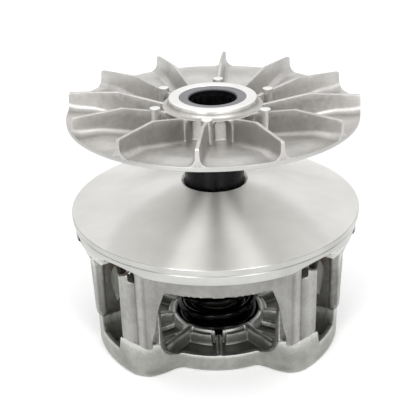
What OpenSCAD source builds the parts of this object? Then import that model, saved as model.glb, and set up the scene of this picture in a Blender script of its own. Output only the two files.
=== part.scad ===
// Belt-drive variator primary pulley, standing on its end cover.
// Frame: origin at the centre of the cover's base, +Z along the shaft towards the fixed
// sheave's fan. The tower pairs stand at 90, 210 and 330 degrees from +X.

/* [Sheaves] */
// Angle of both belt faces from flat, in degrees
face_angle = 12.5; // [11:0.5:14]
// Outer radius of the moving sheave
moving_r = 100; // [98:0.5:104]
// Height of the moving sheave's top rim edge above the cover's base
moving_rim_z = 100; // [98:0.5:103]
// Height of the moving sheave's rim band
moving_rim_h = 12; // [10:0.5:13]
// Thickness of the moving sheave's disc
moving_web_t = 8; // [6:0.5:9]
// Outer radius of the fixed sheave
fixed_r = 98; // [95:0.5:102]
// Thickness of the fixed sheave's disc
fixed_web_t = 5.7; // [4.5:0.1:7]
// Axial gap between the two rim edges at rest
rim_gap = 64.3; // [62:0.1:68]
// Axial travel of the moving sheave
travel = 25; // [18:0.5:26]

/* [Fan fins and hub of the fixed sheave] */
// Number of fan fins
fin_count = 12; // [8:2:16]
// Thickness of a fin
fin_t = 3; // [2:0.25:4]
// Turn of the fin pattern about the shaft, in degrees
fin_turn = 23.8; // [0:0.1:30]
// Radius at which a fin reaches its full height
fin_knee_r = 64; // [56:1:72]
// Height of the fins' knee above the fixed sheave's rim edge
fin_knee_h = 15.3; // [12:0.1:18]
// Height of the fins' outer tip above the fixed sheave's rim edge
fin_tip_h = 14.5; // [11:0.1:17]
// Height of the fins' inner end above the fixed sheave's rim edge
fin_root_h = 9.3; // [7:0.1:11]
// Gap from the fins' outer end to the edge of the rim
fin_rim_gap = 0.6; // [0.2:0.1:3]
// Outer radius of the hub ring
hub_r = 29.5; // [28:0.5:32]
// Height of the hub ring's face above the fixed sheave's rim edge
hub_face_h = 12.4; // [11:0.1:14]
// Height of the hub ring
hub_ring_h = 5; // [3:0.5:6]
// Outer radius of the cast hub that carries the fins
cast_hub_r = 38; // [36:0.5:39]
// Radius of an ejector post
post_r = 3.65; // [3:0.05:4.2]
// Distance of the ejector posts from the shaft's axis
post_pitch_r = 41.5; // [40:0.5:44]
// Height of an ejector post's top above the fixed sheave's rim edge
post_h = 10.2; // [8:0.1:11]

/* [Shaft and idler] */
// Radius of the shaft's head, pressed in the fixed sheave
head_r = 22.6; // [21.5:0.1:24]
// Radius of the pilot bore that takes the crankshaft
pilot_r = 16; // [15:0.1:17]
// Depth of the smooth pilot bore
pilot_depth = 4; // [3:0.5:6]
// Length of the splined socket below the pilot bore
spline_len = 20; // [14:1:22]
// Number of spline teeth
spline_teeth = 16; // [12:1:20]
// Height of a spline tooth
tooth_h = 1.4; // [1:0.1:1.8]
// Radius of the bore for the retaining bolt
bolt_bore_r = 8; // [6:0.5:9]
// Radius of the clutch puller's thread at the shaft's end
puller_r = 9.5; // [9.2:0.1:10.5]
// Length of the clutch puller's thread
puller_len = 24; // [15:1:30]
// Step from the shaft's journal in the idler out to the part that the moving sheave slides on
shoulder_t = 1.5; // [1.2:0.1:2]
// Step from there down to the threaded length in the spider and its nut
thread_step = 0.7; // [0.5:0.1:1.5]
// Step from the thread down to the shaft's end that the cover slides on
tail_step = 1.8; // [1.3:0.1:3.3]
// Height of the shaft's end above the cover's base
tail_z = 2; // [1:0.5:4]
// Outer radius of the idler sleeve
idler_r = 20.5; // [19.8:0.1:21]
// Length of the idler sleeve
idler_len = 34; // [32:0.5:35]
// Wall of the idler sleeve
idler_wall = 3.3; // [2.5:0.1:3.7]
// Thickness of the idler's needle bearings
needle_t = 2.15; // [1.8:0.05:2.5]
// Length of one needle bearing
needle_len = 12; // [10:1:14]
// Thickness of a thrust washer
washer_t = 1; // [0.8:0.1:1.4]

/* [Bushings] */
// Wall of the moving sheave's bushing
bushing_wall = 2.5; // [1.5:0.25:3]
// Length of the moving sheave's bushing
bushing_len = 14.5; // [12:0.5:15.5]
// Clearance round the idler in the moving sheave's bore
idler_room = 1.34; // [1:0.02:2.5]
// Wall of the cover's bushing
cover_bush_wall = 2.2; // [1.5:0.1:2.6]

/* [Spider, rollers and buttons] */
// Height of the spider's hub
spider_h = 16; // [13:0.5:16.5]
// Thickness of the spider's flange, above the spring
flange_t = 8; // [6:0.5:9]
// Wall of the spider's hub round the thread
spider_wall = 5.7; // [4.2:0.1:6.2]
// Width of the spider's flange outside the spring
flange_lap = 2; // [1:0.5:3]
// Thickness of a fork plate on a spider arm
fork_t = 5.5; // [4:0.25:6.5]
// Half the width of the slot between the fork plates
slot_half = 6; // [5.6:0.1:6.8]
// Radius of the rounded end of a spider arm
arm_end_r = 9; // [8.5:0.25:9.5]
// Thickness of the nose that closes a spider arm
nose_t = 3.5; // [2.5:0.25:4]
// Radius of a spider roller
roller_r = 8; // [7:0.25:8.5]
// Distance of the rollers' axes from the flyweights' pivots towards the shaft
roller_inset = 7; // [6.5:0.25:8.5]
// Depth of the rollers below the spider's top face
roller_drop = 11; // [10:0.5:12]
// Radius of a roller pin
roller_pin_r = 3.5; // [3:0.25:4]
// Wall of a roller's bush
roller_bush_wall = 1.2; // [1:0.1:2]
// Radius of a slide button
button_r = 8.5; // [7:0.25:9]
// Wall of the spider's jam nut at its flats
nut_wall = 3.2; // [2.7:0.1:3.7]
// Height of the spider's jam nut
nut_h = 7; // [5:0.5:8]

/* [Flyweights] */
// Depth of the flyweights' pivots inside the towers' outer face
pivot_inset = 11.5; // [11:0.5:12.5]
// Depth of the pivots below the moving sheave's rim band
pivot_drop = 8; // [7.5:0.25:9]
// Radius of a pivot pin
pivot_r = 4; // [3.5:0.25:4.5]
// Radius of the bore along a pivot pin
pivot_bore_r = 1.9; // [1.8:0.05:2.2]
// Half the length of a pivot pin
pivot_half = 20.5; // [19.5:0.5:21]
// Thickness of a flyweight
weight_t = 10; // [8:0.5:11]
// Radius of a flyweight's eye
eye_r = 7; // [6.5:0.25:7.25]
// Wall of a flyweight's bush
weight_bush_wall = 1.2; // [1:0.1:1.8]
// Depth of a flyweight behind its cam face
weight_depth = 9; // [7:0.5:10]
// Outward swing of the flyweights over the whole travel, in degrees
swing = 20; // [14:0.5:22]
// Radius of a tuning rivet
rivet_r = 2.5; // [2:0.25:3]
// Wire radius of a cotter pin
cotter_r = 0.8; // [0.6:0.05:0.9]
// Outer radius of a cotter pin's eye
cotter_eye_r = 4.5; // [3.5:0.25:5]
// Length of a cotter pin's bent legs
cotter_leg = 5.5; // [4:0.5:6]
// Play between a cotter pin's eye and the pivot pin's end
cotter_play = 0.2; // [0.1:0.05:0.4]

/* [Towers and skirt] */
// Half the gap between the two towers of a pair
pair_half = 15; // [14.5:0.1:16]
// Outer radius of the towers
tower_r = 87; // [85:0.5:88]
// Depth of the towers towards the shaft
tower_depth = 25; // [23:0.5:27]
// Angle from a pair's middle to the window side of its columns
column_a = 27; // [25:0.5:28]
// Angle from a pair's middle to the outer side of its set-back strips
strip_a = 30; // [29:0.5:31]
// Step from the towers' outer face back to the strips
strip_step = 8; // [7.5:0.5:10]
// Outward flare of the far towers' outer faces at their foot
flare_t = 2.6; // [1.5:0.1:3]
// Step from the towers' outer face back to the skirt
skirt_step = 7; // [6:0.5:8]
// Thickness of the skirt
skirt_t = 3.6; // [3:0.2:5]
// Height of the skirt's lower edge above the cover's base
skirt_z = 68; // [64:0.5:76]
// Height of the gussets' lower tip above the cover's base
gusset_z = 32; // [28:1:44]
// Angle that a gusset covers along the skirt's lower edge
gusset_a = 7; // [4:0.5:10]
// Radius of a flute in a tower's outer face
flute_r = 6; // [4:0.5:8]
// Depth of a flute
flute_depth = 0.8; // [0.5:0.1:1.2]

/* [Cover] */
// Step from the towers' outer face out to the cover's lobes
lobe_step = 1; // [0.5:0.25:2]
// Depth of the cover's recessed front walls inside its lobes
front_step = 24; // [22:0.5:26]
// Thickness of the cover's floor
floor_t = 3; // [2.5:0.25:5]
// Thickness of the cover's outer wall
wall_t = 3.6; // [3:0.2:5]
// Height of the front walls
front_h = 12; // [9:0.5:13]
// Height of the outer ring between the towers of a pair
ring_h = 14.3; // [12:0.1:16]
// Height of the joint between the cover's bosses and the towers
joint_z = 25; // [22:0.5:28]
// Room between the spring and the wall of its cup
cup_room = 1; // [0.5:0.25:2]
// Wall of the spring's cup
cup_wall = 2.8; // [2:0.2:4]
// Height of the spring's cup
cup_h = 12; // [9:0.5:14]
// Thickness of the cover's ribs
rib_t = 3; // [2:0.25:4.5]
// Angle from a pair's middle to the ribs that run to its bosses
boss_rib_a = 24.5; // [23:0.5:26]
// Wall of the cover's middle tube
tube_wall = 4; // [3:0.25:4.5]
// Depth of the cover's screws inside the towers' outer face
screw_inset = 11; // [9:0.5:13]
// Distance of the cover's screws from the towers' inner side faces
screw_side = 8.5; // [7.5:0.25:9.5]
// Radius of a cover screw's thread
screw_r = 3; // [2.5:0.5:4]
// Radius of a cover screw's head
screw_head_r = 5; // [4.5:0.5:6]
// Height of a cover screw's head
screw_head_h = 6; // [4:0.5:7]
// Length of a cover screw below its head
screw_len = 34; // [28:1:40]

/* [Spring] */
// Room between the coil spring and the spider's hub
spring_room = 2.1; // [1.1:0.1:2.5]
// Radius of the spring's wire
wire_r = 2.7; // [2.4:0.05:2.75]
// Number of open turns
open_turns = 3.5; // [2:0.25:3.75]

/* [Clearances] */
// Radial running clearance between a shaft or pin and its bush
run_gap = 0.05; // [0.02:0.01:0.1]
// Clearance between the slide buttons and the towers, and beside the flyweights
side_gap = 0.3; // [0.2:0.05:0.5]
// Axial play of the idler between its washers
end_play = 0.2; // [0.1:0.05:0.4]
// Gap left between two pieces at the end of the travel
stop_gap = 1; // [0.5:0.25:2]

/* [Hidden] */
$fn = 96;

eps = 0.01;           // overlap that lets two cuts meet cleanly
pair_count = 3;       // tower pairs, spider arms and flyweights
pair_turn = 90;       // angle of the first tower pair from +X
window_turn = 30;     // angle of the first window between two pairs

// Shaft and what surrounds it, from the idler's outer face
needle_r = idler_r - idler_wall;
journal_r = needle_r - needle_t - run_gap;
slide_r = journal_r + shoulder_t;
thread_r = slide_r - thread_step;
tail_r = thread_r - tail_step;
sheave_bore_r = idler_r + idler_room;
nut_flat_r = thread_r + nut_wall;
spider_hub_r = thread_r + spider_wall;
spring_r = spider_hub_r + spring_room + 2 * wire_r;
flange_r = spring_r + flange_lap;
cup_r = spring_r + cup_room;

// Towers and what they carry, from the towers' outer face inwards
tower_in_r = tower_r - tower_depth;
strip_r = tower_r - strip_step;
skirt_r = tower_r - skirt_step;
cover_r = tower_r + lobe_step;
front_r = cover_r - front_step;
pivot_x = tower_r - pivot_inset;
roller_x = pivot_x - roller_inset;
screw_pitch_r = tower_r - screw_inset;
screw_a = asin((pair_half + screw_side) / screw_pitch_r);

// Belt faces
slope = tan(face_angle);
fixed_rim_z = moving_rim_z + rim_gap;
function moving_face_z(r) = moving_rim_z + (moving_r - r) * slope;
function fixed_face_z(r) = fixed_rim_z - (fixed_r - r) * slope;

// Fixed sheave
face_in_r = head_r + 1.4;     // where the belt face ends at the shaft
niche_in_r = hub_r + 2.5;     // back wall of the hub's niches
edge_chamfer = 0.8;
rim_under = 0.6;              // height of the rim's eased lower edge

// Stack along the shaft, from the fixed sheave down
hub_top_z = fixed_rim_z + hub_face_h;
hub_under_z = fixed_face_z(face_in_r);
head_top_z = hub_top_z - 0.5;
idler_top_z = hub_under_z - washer_t - end_play;
idler_low_z = idler_top_z - idler_len;
shoulder_z = idler_low_z - end_play - washer_t;
bushing_top_z = shoulder_z - travel - stop_gap;
bushing_low_z = bushing_top_z - bushing_len;
spider_top_z = bushing_low_z - 2 * stop_gap;
spider_low_z = spider_top_z - spider_h;
spring_top_z = spider_top_z - flange_t;
nut_low_z = spider_low_z - nut_h;
tube_top_z = nut_low_z - travel - stop_gap;
roller_z = spider_top_z - roller_drop;

// Moving sheave
rim_low_z = moving_rim_z - moving_rim_h;
pivot_z = rim_low_z - pivot_drop;
bushing_r = slide_r + run_gap + bushing_wall;
sheave_hub_r = sheave_bore_r + 4.6;
pocket_y = pair_half + 5.5;
shell_r = tower_r - 2.7;
column_in_a = asin(pair_half / tower_r);
corbel_a = column_in_a + 1;
pocket_room = 1;      // room past a cotter pin's eye in its pocket

// Cover
cover_bush_r = tail_r + run_gap + cover_bush_wall;
tube_r = cover_bush_r + tube_wall;
lobe_a = 23.5;        // half the angle of a lobe at full radius
curve_a = 14;         // angle over which a front wall swings out to its lobe
lip_inset = 0.15;     // step from the cover's wall to its higher lip

// Flyweight cam, in the flyweight's own plane with its pivot at the origin
cam_gap = 0.12;
cam_steps = 16;
weight_half = weight_t / 2;

// A point at radius r and angle a
function polar(r, a) = [r * cos(a), r * sin(a)];
// Points along an arc from angle a0 to angle a1
function arc(r, a0, a1, n) = [for (i = [0:n]) polar(r, a0 + (a1 - a0) * i / n)];
// Smooth step from 0 to 1
function ease(t) = let (u = min(max(t, 0), 1)) u * u * (3 - 2 * u);
// Turn a point of the flyweight's plane by angle a
function turned(p, a) = [p[0] * cos(a) + p[1] * sin(a), p[1] * cos(a) - p[0] * sin(a)];
// The roller's centre as the flyweight sees it, at fraction t of the travel
function roller_path(t) =
    turned([roller_x - pivot_x, roller_z - pivot_z - travel * t], swing * t);
// Unit normal of the roller's path on the shaft's side
function inward(t) =
    let (d = roller_path(t + 0.01) - roller_path(t - 0.01), n = norm(d)) [d[1] / n, -d[0] / n];
function cam_point(t, depth) = roller_path(t) + inward(t) * depth;
// Angle from a window's middle at which the cover's outline has radius r
function outline_r(a, front, lobe) =
    let (off = abs(((a - window_turn + 60 + 360) % 120) - 60))
    let (rise = ease((off - (60 - lobe_a - curve_a)) / curve_a))
    front + (lobe - front) * rise;

module at_pairs() {
    for (i = [0:pair_count - 1]) rotate(pair_turn + i * 360 / pair_count) children();
}

module at_pair(i) {
    rotate(pair_turn + (i - 1) * 360 / pair_count) children();
}

module at_windows() {
    for (i = [0:pair_count - 1]) rotate(window_turn + i * 360 / pair_count) children();
}

// A cylinder across a pair, centred on its middle plane
module across(x, z, r, half) {
    translate([x, 0, z]) rotate([90, 0, 0]) cylinder(r = r, h = 2 * half, center = true);
}

// A tube between two heights
module tube(outer, inner, low, high) {
    translate([0, 0, low]) difference() {
        cylinder(r = outer, h = high - low);
        translate([0, 0, -1]) cylinder(r = inner, h = high - low + 2);
    }
}

// ---------- Fixed half ----------

module fin() {
    top_root = fixed_rim_z + fin_root_h;
    base_drop = fixed_web_t / 2;
    root_r = cast_hub_r - 4;
    tip_r = fixed_r - fin_rim_gap;
    rotate([90, 0, 0]) linear_extrude(height = fin_t, center = true) polygon([
        [root_r, fixed_face_z(root_r) + base_drop],
        [tip_r, fixed_face_z(tip_r) + base_drop],
        [tip_r, fixed_rim_z + fin_tip_h],
        [fin_knee_r, fixed_rim_z + fin_knee_h],
        [post_pitch_r, top_root],
        [root_r, top_root]
    ]);
}

// A niche with a round top in the cast hub, between two fins
module hub_niche() {
    niche_r = 5;
    niche_z = fixed_rim_z + 1.2;
    niche_drop = 30;
    niche_len = cast_hub_r + 0.5 - niche_in_r;
    translate([niche_in_r, 0, 0]) {
        translate([0, -niche_r, niche_z - niche_drop]) cube([niche_len, 2 * niche_r, niche_drop]);
        translate([0, 0, niche_z]) rotate([0, 90, 0]) cylinder(r = niche_r, h = niche_len);
    }
}

module fixed_disc() {
    hub_shelf_z = fixed_rim_z + 7;
    rotate_extrude() polygon([
        [head_r, hub_under_z],
        [face_in_r, hub_under_z],
        [fixed_r - 1, fixed_face_z(fixed_r - 1)],
        [fixed_r, fixed_rim_z + rim_under],
        [fixed_r, fixed_rim_z + fixed_web_t - edge_chamfer],
        [fixed_r - edge_chamfer, fixed_rim_z + fixed_web_t],
        [cast_hub_r, fixed_face_z(cast_hub_r) + fixed_web_t],
        [cast_hub_r, hub_shelf_z],
        [hub_r - 1.5, hub_shelf_z],
        [hub_r - 1.5, hub_top_z - hub_ring_h],
        [hub_r, hub_top_z - hub_ring_h + 1],
        [hub_r, hub_top_z - edge_chamfer],
        [hub_r - edge_chamfer, hub_top_z],
        [head_r, hub_top_z]
    ]);
}

module fixed_sheave() {
    step = 360 / fin_count;
    color([0.78, 0.79, 0.78]) {
        difference() {
            fixed_disc();
            for (i = [0:fin_count - 1])
                rotate(fin_turn + (i + 0.5) * step) intersection() {
                    hub_niche();
                    translate([0, 0, fixed_face_z(niche_in_r) + fixed_web_t])
                        cylinder(r = fixed_r, h = rim_gap);
                }
        }
        for (i = [0:fin_count - 1]) rotate(fin_turn + i * step) fin();
        for (i = [0:2:fin_count - 1])
            rotate(fin_turn + i * step) translate([post_pitch_r, 0, 0]) {
                post_low = fixed_face_z(post_pitch_r) + fixed_web_t / 2;
                post_top = fixed_rim_z + post_h;
                translate([0, 0, post_low]) cylinder(r = post_r, h = post_top - post_low);
            }
    }
}

module spline_socket() {
    low = head_top_z - pilot_depth - spline_len;
    root_r = pilot_r - 0.4;
    tooth_w = PI * pilot_r / spline_teeth;
    difference() {
        translate([0, 0, low]) cylinder(r = root_r, h = spline_len + eps);
        for (i = [0:spline_teeth - 1]) rotate(i * 360 / spline_teeth)
            translate([root_r - tooth_h, -tooth_w / 2, low - eps])
                cube([tooth_h + 1, tooth_w, spline_len + 3 * eps]);
    }
}

module shaft() {
    pilot_low_z = head_top_z - pilot_depth;
    chamfer = 1;
    color([0.62, 0.61, 0.64]) difference() {
        rotate_extrude() polygon([
            [0, tail_z],
            [tail_r - 1, tail_z],
            [tail_r, tail_z + 1],
            [tail_r, nut_low_z],
            [thread_r, nut_low_z],
            [thread_r, spider_top_z],
            [slide_r, spider_top_z],
            [slide_r, shoulder_z],
            [journal_r, shoulder_z],
            [journal_r, hub_under_z],
            [head_r, hub_under_z],
            [head_r, head_top_z],
            [0, head_top_z]
        ]);
        rotate_extrude() polygon([
            [0, pilot_low_z],
            [pilot_r, pilot_low_z],
            [pilot_r, head_top_z - chamfer],
            [pilot_r + chamfer, head_top_z],
            [pilot_r + chamfer, head_top_z + 1],
            [0, head_top_z + 1]
        ]);
        spline_socket();
        translate([0, 0, tail_z - 1]) cylinder(r = bolt_bore_r, h = head_top_z);
        translate([0, 0, tail_z - 1]) cylinder(r = puller_r, h = puller_len + 1);
    }
}

module upper_thrust_washer() {
    color([0.7, 0.7, 0.7])
        tube(idler_r - 0.5, journal_r + run_gap, hub_under_z - washer_t, hub_under_z);
}

module lower_thrust_washer() {
    color([0.7, 0.7, 0.7])
        tube(idler_r - 0.5, journal_r + run_gap, shoulder_z, shoulder_z + washer_t);
}

module idler_sleeve() {
    ease_t = 0.6;
    ring_drop = 3;
    color([0.06, 0.06, 0.07]) difference() {
        rotate_extrude() polygon([
            [needle_r, idler_low_z],
            [idler_r - ease_t, idler_low_z],
            [idler_r, idler_low_z + ease_t],
            [idler_r, idler_top_z - ease_t],
            [idler_r - ease_t, idler_top_z],
            [needle_r, idler_top_z]
        ]);
        rotate_extrude() translate([idler_r + 0.1, idler_top_z - ring_drop])
            circle(r = 0.5, $fn = 24);
    }
}

module needle_bearings() {
    color([0.55, 0.55, 0.57]) {
        tube(needle_r, journal_r + run_gap, idler_top_z - needle_len - 1, idler_top_z - 1);
        tube(needle_r, journal_r + run_gap, idler_low_z + 1, idler_low_z + needle_len + 1);
    }
}

// ---------- Spider ----------

// Side view of one fork plate, from the hub to the rounded end
module fork_profile() {
    rise = spring_top_z - (roller_z - arm_end_r);
    polygon([
        [spider_hub_r - 4, spring_top_z],
        [flange_r + 1, spring_top_z],
        [flange_r + 1 + rise, roller_z - arm_end_r],
        [roller_x, roller_z - arm_end_r],
        [roller_x, roller_z + arm_end_r],
        [flange_r, spider_top_z],
        [spider_hub_r - 4, spider_top_z]
    ]);
    translate([roller_x, roller_z]) circle(r = arm_end_r);
}

module spider() {
    nose_in = roller_x + roller_r + 2 * side_gap;
    nose_h = 2 * arm_end_r + 2;
    color([0.66, 0.66, 0.64]) difference() {
        union() {
            translate([0, 0, spider_low_z]) cylinder(r = spider_hub_r, h = spider_h);
            translate([0, 0, spring_top_z]) cylinder(r = flange_r, h = flange_t);
            at_pairs() {
                for (side = [-1, 1])
                    translate([0, side * (slot_half + fork_t / 2), 0])
                        rotate([90, 0, 0]) linear_extrude(height = fork_t, center = true)
                            fork_profile();
                // nose across the fork, pointed above and below
                intersection() {
                    translate([nose_in, 0, roller_z]) rotate([0, 90, 0])
                        linear_extrude(height = nose_t) polygon([
                            [-nose_h * 0.7, 0], [-3, slot_half + fork_t - 1.5],
                            [3, slot_half + fork_t - 1.5], [nose_h * 0.7, 0],
                            [3, -slot_half - fork_t + 1.5], [-3, -slot_half - fork_t + 1.5]
                        ]);
                    cylinder(r = nose_in + nose_t, h = 2 * spider_top_z);
                }
                for (side = [-1, 1])
                    translate([roller_x, side * (slot_half + fork_t / 2) - 2,
                               roller_z - 4])
                        cube([nose_in + nose_t / 2 - roller_x, 4, 8]);
            }
        }
        translate([0, 0, spider_low_z - 1]) cylinder(r = thread_r, h = spider_h + 2);
        at_pairs() across(roller_x, roller_z, roller_pin_r, slot_half + fork_t + 1);
    }
}

module spider_nut() {
    color([0.5, 0.5, 0.52]) translate([0, 0, nut_low_z]) difference() {
        cylinder(r = nut_flat_r / cos(30), h = nut_h, $fn = 6);
        translate([0, 0, -1]) cylinder(r = thread_r, h = nut_h + 2);
    }
}

module roller_pins() {
    color([0.72, 0.72, 0.73])
        at_pairs() across(roller_x, roller_z, roller_pin_r, pair_half - 1.5);
}

module slide_buttons() {
    inner = slot_half + fork_t;
    outer = pair_half - side_gap;
    color([0.45, 0.32, 0.2]) at_pairs() for (side = [-1, 1]) difference() {
        translate([roller_x, side * (inner + outer) / 2, roller_z]) rotate([90, 0, 0])
            cylinder(r = button_r, h = outer - inner, center = true);
        across(roller_x, roller_z, roller_pin_r, pair_half);
    }
}

module roller(i) {
    color([0.16, 0.15, 0.15]) at_pair(i) difference() {
        across(roller_x, roller_z, roller_r, slot_half - side_gap);
        across(roller_x, roller_z, roller_pin_r + run_gap + roller_bush_wall, slot_half);
    }
}

module roller_bush(i) {
    color([0.62, 0.42, 0.22]) at_pair(i) difference() {
        across(roller_x, roller_z, roller_pin_r + run_gap + roller_bush_wall, slot_half - side_gap);
        across(roller_x, roller_z, roller_pin_r + run_gap, slot_half);
    }
}

// ---------- Spring ----------

module primary_spring() {
    end_turns = 1;
    rings_per_turn = 24;
    sides = 10;
    low = floor_t + wire_r + 0.05;
    high = spring_top_z - wire_r - 0.05;
    turns = open_turns + 2 * end_turns;
    rings = turns * rings_per_turn;
    coil = 2 * wire_r + 0.1;
    open_h = high - low - 2 * end_turns * coil;
    function height(t) = t < end_turns ? low + t * coil
        : t > end_turns + open_turns ? high - (turns - t) * coil
        : low + end_turns * coil + (t - end_turns) * open_h / open_turns;
    mid_r = spring_r - wire_r;
    points = [for (i = [0:rings]) for (j = [0:sides - 1])
        let (t = i / rings_per_turn, a = t * 360, b = j * 360 / sides,
             r = mid_r + wire_r * cos(b))
        [r * cos(a), r * sin(a), height(t) + wire_r * sin(b)]];
    sides_faces = [for (i = [0:rings - 1]) for (j = [0:sides - 1])
        let (k = (j + 1) % sides)
        [i * sides + j, (i + 1) * sides + j, (i + 1) * sides + k, i * sides + k]];
    first_cap = [[for (j = [0:sides - 1]) j]];
    last_cap = [[for (j = [sides - 1:-1:0]) rings * sides + j]];
    color([0.03, 0.03, 0.035]) polyhedron(points, concat(sides_faces, first_cap, last_cap));
}

// ---------- Moving half ----------

module moving_disc() {
    top_in = moving_face_z(sheave_bore_r + 1.8);
    rim_in = skirt_r - skirt_t;
    web_r = rim_in - 2;
    rotate_extrude() polygon([
        [bushing_r, bushing_low_z],
        [sheave_hub_r, bushing_low_z],
        [sheave_hub_r, moving_face_z(sheave_hub_r) - moving_web_t - 6],
        [sheave_hub_r + 8, moving_face_z(sheave_hub_r + 8) - moving_web_t],
        [web_r, moving_face_z(web_r) - moving_web_t],
        [rim_in, rim_low_z],
        [moving_r - 2, rim_low_z],
        [moving_r - 1.2, rim_low_z + 1.2],
        [moving_r - 0.6, moving_rim_z - 5],
        [moving_r - 1.1, moving_rim_z - 4.6],
        [moving_r - 1.1, moving_rim_z - 4.1],
        [moving_r, moving_rim_z - 3.6],
        [moving_r, moving_rim_z - 0.4],
        [moving_r - 0.6, moving_face_z(moving_r - 0.6)],
        [sheave_bore_r + 1.8, top_in],
        [sheave_bore_r, top_in - 1.2],
        [sheave_bore_r, bushing_top_z],
        [bushing_r, bushing_top_z]
    ]);
}

// Distance from a point at radius r and angle a, back along a wall that runs at angle w, to radius q
function wall_run(r, a, w, q) = r * cos(w - a) - sqrt(q * q - pow(r * sin(w - a), 2));

// Plan of the tower on the positive side of a pair's middle plane. Its walls on the window's
// side run almost parallel to the window's middle, as the mould opens that way.
module tower_plan() {
    inner_a = asin(pair_half / tower_in_r);
    window_a = 60;
    column_wall_a = window_a - 10;
    strip_wall_a = window_a - 3;
    waist_r = tower_in_r + 7;
    column_edge = polar(tower_r, column_a);
    strip_edge = polar(strip_r, strip_a);
    column_foot = column_edge
        - polar(wall_run(tower_r, column_a, column_wall_a, strip_r), column_wall_a);
    waist = strip_edge - polar(wall_run(strip_r, strip_a, strip_wall_a, waist_r), strip_wall_a);
    strip_from_a = atan2(column_foot[1], column_foot[0]);
    polygon(concat(
        arc(tower_r, column_in_a, column_a, 8),
        arc(strip_r, strip_from_a, strip_a, 2),
        [waist],
        [polar(tower_in_r + 1, inner_a + 7)],
        [polar(tower_in_r, inner_a)]
    ));
}

module both_sides() {
    children();
    mirror([0, 1, 0]) children();
}

module tower() {
    difference() {
        translate([0, 0, joint_z])
            linear_extrude(height = moving_face_z(tower_r) - moving_web_t / 2 - joint_z)
                tower_plan();
        for (share = [0.26, 0.56])
            rotate(column_in_a + (column_a - column_in_a) * share)
                translate([tower_r + flute_r - flute_depth, 0, joint_z - 1])
                    cylinder(r = flute_r, h = pivot_z - joint_z, $fn = 32);
    }
}

// Shell under the rim between the towers of a pair, from angle a0 to angle a1
module corbel(a0, a1) {
    low = pivot_z + 3;
    high = rim_low_z + 2;
    rotate(a0) rotate_extrude(angle = a1 - a0) polygon([
        [shell_r, low],
        [moving_r - 3.4, low],
        [moving_r - 1.6, high],
        [shell_r, high]
    ]);
}

// Flared outer face of a whole tower, from its foot to the rim
module flared_face(a0, a1) {
    high = rim_low_z + 2;
    rotate(a0) rotate_extrude(angle = a1 - a0) polygon([
        [shell_r, joint_z],
        [tower_r + flare_t / 2, joint_z],
        [tower_r + flare_t, joint_z + 4],
        [tower_r + flare_t + 0.8, pivot_z - 24],
        [tower_r + flare_t + 0.9, pivot_z - 14],
        [tower_r + flare_t + 2.5, pivot_z - 7.5],
        [moving_r - 4.5, pivot_z - 2],
        [moving_r - 1.7, pivot_z + 2],
        [moving_r - 1.6, high],
        [shell_r, high]
    ]);
}

// Scallop in the rim's lower edge above a tower, for the pivot pin's drilling
module rim_scallop() {
    scallop_r = 90;
    scallop_rise = 3;
    rotate(screw_a) translate([tower_r + 1, 0, rim_low_z + scallop_rise - scallop_r])
        rotate([0, 90, 0]) cylinder(r = scallop_r, h = 30);
}

// Pocket at a pin's end, behind the column's face and open to the outside above it
module pin_pocket() {
    pocket_len = 2 * cotter_eye_r + pocket_room;
    pocket_in = pivot_x - 7;
    pocket_z = pivot_z - 7;
    notch_in = pivot_x + pivot_r + 0.5;
    notch_z = pivot_z + 1.5;
    face_t = 4.5;
    translate([pocket_in, pocket_y, pocket_z])
        cube([tower_r - face_t - pocket_in, pocket_len, rim_low_z - pocket_z + eps]);
    translate([notch_in, pair_half - 1, notch_z])
        cube([moving_r, pocket_y + pocket_len - pair_half + 1, rim_low_z - notch_z + eps]);
}

// Skirt across a window, with a gusset at each end whose flat face runs out to the tower's ridge
module skirt() {
    tip_a = 60 - column_a;
    top_a = tip_a - gusset_a;
    end_a = tip_a + 5;
    hidden = 4;
    tip_y = tower_r * sin(tip_a);
    top_y = skirt_r * sin(top_a);
    low_y = tip_y + hidden * (tip_y - top_y) / (skirt_z - gusset_z);
    low = gusset_z - hidden;
    skirt_in_r = skirt_r - skirt_t;
    ridge_drop = 0.3;
    difference() {
        union() {
            rotate(-end_a) rotate_extrude(angle = 2 * end_a)
                translate([skirt_in_r, low]) square([skirt_t, rim_low_z + 1 - low]);
            both_sides() translate([0, 0, low])
                linear_extrude(height = rim_low_z + 1 - low) polygon([
                    polar(tower_r - ridge_drop, tip_a + ridge_drop),
                    polar(skirt_r - ridge_drop, top_a),
                    polar(skirt_in_r + ridge_drop, top_a),
                    polar(skirt_in_r + ridge_drop, end_a),
                    polar(tower_r - 3, end_a)
                ]);
        }
        rotate([90, 0, 90]) linear_extrude(height = skirt_r + 1) polygon([
            [-low_y, low], [-low_y, low - 1], [low_y, low - 1], [low_y, low],
            [top_y, skirt_z], [-top_y, skirt_z]
        ]);
    }
}

// Radial rib under the disc
module disc_rib() {
    rib_h = 9;
    r0 = sheave_hub_r - 1;
    r1 = skirt_r - skirt_t;
    rotate([90, 0, 0]) linear_extrude(height = rib_t, center = true) polygon([
        [r0, moving_face_z(r0) - moving_web_t / 2],
        [r1, moving_face_z(r1) - moving_web_t / 2],
        [r1, rim_low_z],
        [r0, moving_face_z(r0) - moving_web_t - rib_h - 6]
    ]);
}

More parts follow.
